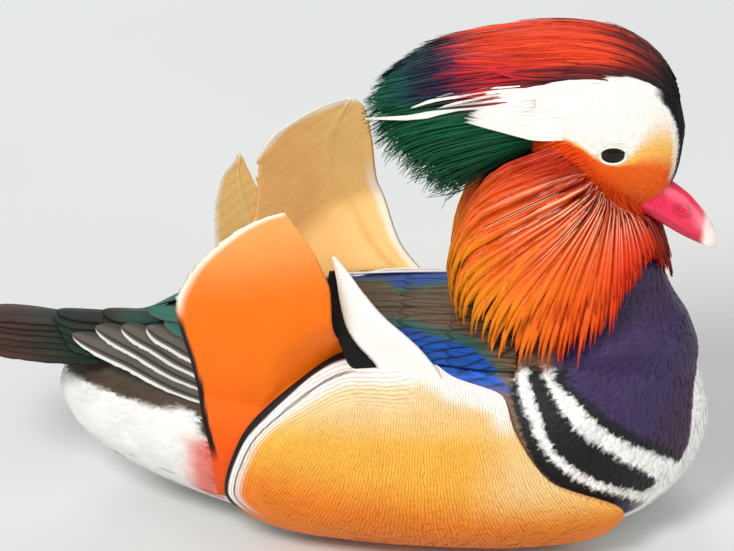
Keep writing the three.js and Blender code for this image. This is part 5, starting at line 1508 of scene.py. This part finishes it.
def blade_grid(away, hind, front, way, rows=46, columns=15):
    """A tall feather between two edges in x and z, at least 3 mm over the body."""
    u, v = barb_grid(rows, columns)
    ragged = draw.normal(0, 0.003, (rows, columns)) * (np.abs(u) > 0.99)
    lines = [through(line)(v) for line in (hind, front)]
    xz = mix(lines[0], lines[1], 0.5 + u / 2 + ragged)
    lifted = on_side(xz[..., 0], np.minimum(xz[..., 1], 82), 0.3 + 2.7 * ease(xz[..., 1], 75, 83), way)
    free = away - 3.5 * ease(v, 0.5, 1) - 1.2 * u ** 2 * ease(v, 0.2, 0.5)
    y = way * np.maximum(free, way * lifted[..., 1] - 0.25 * np.maximum(xz[..., 1] - 82, 0))
    return np.stack([xz[..., 0], y, xz[..., 1]], -1)


def wedge_shape(v):
    return ease(v, -0.1, 0.9) * np.sqrt(np.maximum(0.004, 1 - np.maximum(0, (v - 0.8) / 0.2) ** 2))


def scapular_sheets(way):
    made = []
    for tier in SCAPULAR_TIERS:
        for i, row in enumerate(tier["rows"]):
            xs = np.linspace(tier["root"], tier["tip"], 3)
            points = [[x, way * (row - 2.5 * j), 84] for j, x in enumerate(xs)]
            grid = vane_grid(points, [0, way * 0.4, 0.9], 8.5, broad_shape, rows=30, columns=13,
                             lay=lay_back(tier["lift"] + 0.22 * (i % 2)), ragged=0.04)
            u, v = barb_grid(*grid.shape[:2])
            tone = back_markings(grid)
            tone = mix(tone, tone * 0.3, ease(np.abs(u), 0.1, 0.03) * 0.8)
            tone = mix(tone, tone * 0.35, ease(np.hypot(u, np.maximum(0, (v - 0.7) / 0.3)), 0.82, 0.97) * 0.8)
            # painted shade: the underside is a darker copy of the upper side's markings
            made.append((grid, 0.5 + 0 * u, tone, tone * 0.7))
    if way == LEFT:
        wedge = vane_grid([[10, 23, 84], [-14, 25.5, 84], [-38, 28, 84]], [0, 0.4, 0.9], 7.5, wedge_shape,
                          rows=40, columns=13, lay=lay_back(2.4))
        made.append((wedge, 0.6 + 0 * wedge[..., 0], np.broadcast_to(WHITE, wedge.shape), np.broadcast_to(WHITE, wedge.shape)))
    for away, tone, hind, front in BLADES[way]:
        grid = blade_grid(away, hind, front, way)
        if way == LEFT:
            grid = grid[:, ::-1]
        tones = np.broadcast_to(tone, grid.shape)
        # painted shade: the back of each blade is a darker copy of its front
        made.append((grid, 0.9 + 0 * grid[..., 0], tones, tones * 0.9))
    return made


for side_name, way in (("left", LEFT), ("right", RIGHT)):
    piece = sheets_piece(f"scapular_vanes_{side_name}", scapular_sheets(way), vane_feather, cells=6)
    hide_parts(f"scapulars_{side_name}", f"white_scapular_{side_name}")


# %% [markdown]
# The bill: smooth waxy horn, crimson with a pale nail at its tip and a painted highlight on the upper
# side of its front half. Two spheres are drawn out to the measured sections, and the nostrils are cut by a
# Boolean, as a carver would drill them.

# %% Bill
BILL_GAPE, BILL_LENGTH, BILL_DROP = (79, 135), 37.5, 0.583
bill_top = curve([[0, 11], [6, 14.2], [15, 13.6], [21, 12], [28, 9.4], [33, 6.8], [36, 4], [37.5, 1.5]])
bill_line = curve([[0, 0.4], [10, 1.2], [20, 0.8], [30, 1.2], [37.5, 1.4]])
bill_under = curve([[0, -1.2], [10, -1.6], [20, -1.4], [30, 0.2], [34, 1.2]])
bill_half = curve([[0, 8.5], [8, 8], [18, 6.9], [28, 6.2], [33, 5.4], [36, 3.6], [37.5, 0]])


def bill_point(along, height, left):
    return np.stack([BILL_GAPE[0] + along * math.cos(BILL_DROP) + height * math.sin(BILL_DROP), left + 0 * along,
                     BILL_GAPE[1] - along * math.sin(BILL_DROP) + height * math.cos(BILL_DROP)], -1)


def bill_upper_ring(s, turn):
    along = BILL_LENGTH * (s + 1) / 2
    low, high = bill_line(along), bill_top(along)
    close = np.minimum(1, 2.5 * np.sqrt(1 - s * s))
    up = np.maximum(np.sin(turn), -0.12)
    return bill_point(along, low + (high - low) * close * (up + 0.12) / 1.12,
                      bill_half(along) * close * np.cos(turn) * (1 - 0.25 * np.maximum(0, np.sin(turn))))


def bill_lower_ring(s, turn):
    along = 1 + 32.5 * (s + 1) / 2
    high, low = bill_line(along) - GAP - 0.05, bill_under(along)
    close = np.minimum(1, 2 * np.sqrt(1 - s * s))
    up = np.minimum(np.sin(turn), 0.15)
    return bill_point(along, high + (high - low) * close * (up - 0.15) / 1.15,
                      (bill_half(along) - 0.8) * close * np.cos(turn))


def mend(piece):
    """Faces outwards, doubles merged, and a smooth look with crisp edges."""
    bpy.context.view_layer.objects.active = piece
    piece.select_set(True)
    bpy.ops.object.mode_set(mode="EDIT")
    bpy.ops.mesh.select_all(action="SELECT")
    bpy.ops.mesh.remove_doubles(threshold=0.00003)
    bpy.ops.mesh.normals_make_consistent(inside=False)
    bpy.ops.object.mode_set(mode="OBJECT")
    bpy.ops.object.shade_smooth_by_angle(angle=math.radians(50))
    piece.select_set(False)


def horn(name):
    """Waxy horn: crimson, darker over the mouth, a pale nail, with a wet gloss."""
    made = bpy.data.materials.new(name)
    made.use_nodes = True
    tree = made.node_tree
    shader = tree.nodes["Principled BSDF"]
    marks = add_node(tree, "ShaderNodeAttribute", attribute_name="markings")
    where = add_node(tree, "ShaderNodeTexCoord")
    grain = add_node(tree, "ShaderNodeTexNoise", {"Vector": where.outputs["Object"], "Scale": 1 / 0.0035, "Detail": 4.0})
    shade = add_node(tree, "ShaderNodeMapRange", {"Value": grain.outputs[0], "From Min": 0.3, "From Max": 0.7,
                                                  "To Min": 0.86, "To Max": 1.12})
    tone = add_node(tree, "ShaderNodeVectorMath", {0: marks.outputs["Color"], "Scale": shade.outputs[0]}, operation="SCALE")
    bump = add_node(tree, "ShaderNodeBump", {"Height": grain.outputs[0], "Strength": 0.15, "Distance": 0.0004})
    tree.links.new(tone.outputs[0], shader.inputs["Base Color"])
    tree.links.new(bump.outputs[0], shader.inputs["Normal"])
    shader.inputs["Roughness"].default_value = 0.3
    shader.inputs["IOR"].default_value = 1.55
    shader.inputs["Coat Weight"].default_value = 0.25
    shader.inputs["Subsurface Weight"].default_value = 0.08
    shader.inputs["Subsurface Scale"].default_value = 0.002
    return made


waxy_horn = horn("waxy_bill_horn")
BILL_PINK, BILL_DARK, NAIL = colour("e8174a"), colour("96102a"), colour("fbe6dc")


def bill_markings(p):
    x, z = p[..., 0] - BILL_GAPE[0], p[..., 2] - BILL_GAPE[1]
    along = x * math.cos(BILL_DROP) - z * math.sin(BILL_DROP)
    height = x * math.sin(BILL_DROP) + z * math.cos(BILL_DROP)
    over = height - bill_line(along)
    tone = mix(BILL_PINK, BILL_DARK, 0.75 * ease(np.abs(over - 1.2), 0.9, 0.3) * ease(along, 33, 30))
    ring = np.hypot((along - 16.5) / 3.4, (height - 8.4) / 2.0)
    tone = mix(tone, BILL_DARK, 0.6 * ease(np.abs(ring - 1), 0.35, 0.1))
    # painted highlight: lighter pink on the upper side of the bill's front half
    tone = mix(tone, colour("f88a96"), 0.5 * ease(along, 18, 28) * ease(height - bill_line(along), 2, 6))
    return mix(tone, NAIL, ease(along + 0.5 * over, 29, 32))


upper = sphere("bill_upper_horn", 64, 48, bill_upper_ring)
mend(upper)
for way in (LEFT, RIGHT):
    drill = sphere("nostril_drill", 24, 16, lambda s, turn: bill_point(
        16.5 + 2.5 * s, 8.4 + 0.85 * np.sqrt(1 - s * s) * np.sin(turn),
        way * (5.4 + 1.5 * np.sqrt(1 - s * s) * np.cos(turn))))
    mend(drill)
    apply_modifier(upper, "BOOLEAN", operation="DIFFERENCE", object=drill, solver="EXACT")
    bpy.data.objects.remove(drill)
lower = sphere("bill_lower_horn", 48, 32, bill_lower_ring)
mend(lower)
for piece, node in ((upper, "bill_upper"), (lower, "bill_lower")):
    mend(piece)
    paint(piece.data, bill_markings(places(piece)))
    dress(piece, waxy_horn)
    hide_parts(node)
print("bill:", len(upper.data.polygons) + len(lower.data.polygons), "faces")

# %% [markdown]
# Eyes and lids. The eye of a mandarin is dark brown, nearly black, wet and bright, with a flat upper
# lid and a thin pale lower lid. The ball is a sphere; each lid ring is a torus pulled to the opening.

# %% Eyes and lids


def wet_eye(name):
    """Wet dark eye: brown iris round a black pupil, under a clear glossy coat."""
    made = bpy.data.materials.new(name)
    made.use_nodes = True
    tree = made.node_tree
    shader = tree.nodes["Principled BSDF"]
    where = add_node(tree, "ShaderNodeTexCoord")
    parts = add_node(tree, "ShaderNodeSeparateXYZ", {0: where.outputs["Object"]})
    flat = add_node(tree, "ShaderNodeCombineXYZ", {0: parts.outputs[0], 2: parts.outputs[2]})
    centre = (EYE_X * MM, 0.0, EYE_Z * MM)
    away = add_node(tree, "ShaderNodeVectorMath", {0: flat.outputs[0], 1: centre}, operation="DISTANCE")
    iris = add_node(tree, "ShaderNodeMapRange", {"Value": away.outputs["Value"], "From Min": 0.0021, "From Max": 0.0026})
    fibre = add_node(tree, "ShaderNodeTexNoise", {"Vector": where.outputs["Object"], "Scale": 1 / 0.0008, "Detail": 3.0})
    brown = add_node(tree, "ShaderNodeMix", {0: fibre.outputs[0], 6: rgba("0c0503"), 7: rgba("1c0c06")}, data_type="RGBA")
    tone = add_node(tree, "ShaderNodeMix", {0: iris.outputs[0], 6: rgba("040303"), 7: brown.outputs[2]}, data_type="RGBA")
    tree.links.new(tone.outputs[2], shader.inputs["Base Color"])
    shader.inputs["Roughness"].default_value = 0.06
    shader.inputs["IOR"].default_value = 1.376
    shader.inputs["Specular IOR Level"].default_value = 0.3
    shader.inputs["Coat Weight"].default_value = 0.3
    shader.inputs["Coat Roughness"].default_value = 0.02
    return made


wet_dark_eye = wet_eye("wet_dark_eye")
EYE_RIM_PALE, EYE_RIM_DARK = colour("f6eee0"), colour("120c0a")
BALL_HALF = (5.4, 2.6, 4.1)  # half width, depth and height of the part of the ball that is modelled
BALL_SUNK, RIM_HALF, RIM_THICK = 1.1, 0.6, 0.4
TURN_OF_TUBE = 0.2  # the torus's own tube, as a share of its ring


def lid_markings(p):
    """A pale soft rim all round, dark on its inner edge above."""
    inner = ease(from_eye(p, 4.5, 3.1), 1.16, 1.06)
    return mix(EYE_RIM_PALE, EYE_RIM_DARK, inner * ease(p[..., 2] - EYE_Z, 0.2, 1.4))


def at_eye(across, up, out, way):
    """Points by their place from the eye's middle, level with the face."""
    level = eye_level + eye_slope_x * across + eye_slope_z * up
    return np.stack([EYE_X + across, way * (level + out), EYE_Z + up], -1)


for side_name, way in (("left", LEFT), ("right", RIGHT)):
    bpy.ops.mesh.primitive_uv_sphere_add(segments=64, ring_count=48, radius=1)
    ball = bpy.context.object
    ball.name = f"eye_ball_{side_name}"
    p = places(ball) * MM * np.array(BALL_HALF)
    move_to(ball, at_eye(p[:, 0], p[:, 2], p[:, 1] - BALL_SUNK, way))
    mend(ball)
    bpy.ops.object.shade_smooth()
    ball.select_set(False)
    dress(ball, wet_dark_eye)
    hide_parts(f"eye_{side_name}")
    bpy.ops.mesh.primitive_torus_add(major_segments=96, minor_segments=14, major_radius=1,
                                     minor_radius=TURN_OF_TUBE)
    ring = bpy.context.object
    ring.name = f"eye_lids_{side_name}"
    bpy.ops.object.shade_smooth()
    ring.select_set(False)
    p = places(ring) * MM
    roll = (np.hypot(p[:, 0], p[:, 1]) - 1) / TURN_OF_TUBE * RIM_HALF
    angle = np.arctan2(p[:, 1], p[:, 0])
    high = np.where(np.sin(angle) > 0, 3.25 - 0.3 * np.cos(angle), 3.75) * power(np.sin(angle), 0.85)
    across = np.cos(angle) * (4.95 + roll)
    up = high + roll * np.sin(angle)
    out = 0.4 - 0.02 * np.abs(across) + p[:, 2] * RIM_THICK / TURN_OF_TUBE
    move_to(ring, at_eye(across, up, out, way))
    mend(ring)
    paint(ring.data, lid_markings(places(ring)))
    dress(ring, velvet_feather)
print("eyes and lids are in")

# %% [markdown]
# Legs and feet are tucked under the belly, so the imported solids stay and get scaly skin: dull
# orange-yellow plates about 1.5 mm across with darker seams, drawn from a Voronoi pattern.

# %% Feet


def scaly_skin(name):
    made = bpy.data.materials.new(name)
    made.use_nodes = True
    tree = made.node_tree
    shader = tree.nodes["Principled BSDF"]
    where = add_node(tree, "ShaderNodeTexCoord")
    plates = add_node(tree, "ShaderNodeTexVoronoi", {"Vector": where.outputs["Object"], "Scale": 1 / 0.0015},
                      feature="DISTANCE_TO_EDGE")
    seam = add_node(tree, "ShaderNodeMapRange", {"Value": plates.outputs["Distance"], "From Min": 0.0, "From Max": 0.18})
    tone = add_node(tree, "ShaderNodeMix", {0: seam.outputs[0], 6: rgba("6a4420"), 7: rgba("c48a3c")}, data_type="RGBA")
    bump = add_node(tree, "ShaderNodeBump", {"Height": seam.outputs[0], "Strength": 0.5, "Distance": 0.0003})
    tree.links.new(tone.outputs[2], shader.inputs["Base Color"])
    tree.links.new(bump.outputs[0], shader.inputs["Normal"])
    shader.inputs["Roughness"].default_value = 0.5
    return made


scaly_foot_skin = scaly_skin("scaly_foot_skin")
for node in ("leg_left", "leg_right", "foot_left", "foot_right"):
    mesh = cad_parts[node].data
    mesh.materials.clear()
    mesh.materials.append(scaly_foot_skin)

# %% [markdown]
# The floor is a plain pale board, so that nothing competes with the bird.

# %% Floor
bpy.ops.mesh.primitive_plane_add(size=1, location=(0, 0, 0))
floor = bpy.context.object
floor.name = "studio_floor"
floor_points = places(floor) * MM
floor_points[:, :2] *= 6000
floor_points[:, 2] = -0.05
move_to(floor, floor_points)
floor.select_set(False)
pale_board = bpy.data.materials.new("pale_painted_board")
pale_board.use_nodes = True
board_tree = pale_board.node_tree
board_where = add_node(board_tree, "ShaderNodeTexCoord")
board_noise = add_node(board_tree, "ShaderNodeTexNoise", {"Vector": board_where.outputs["Object"], "Scale": 8.0})
board_tone = add_node(board_tree, "ShaderNodeMix", {0: board_noise.outputs[0], 6: rgba("d4d6d4"), 7: rgba("dadcda")},
                      data_type="RGBA")
board_tree.links.new(board_tone.outputs[2], board_tree.nodes["Principled BSDF"].inputs["Base Color"])
board_tree.nodes["Principled BSDF"].inputs["Roughness"].default_value = 0.8
floor.data.materials.append(pale_board)
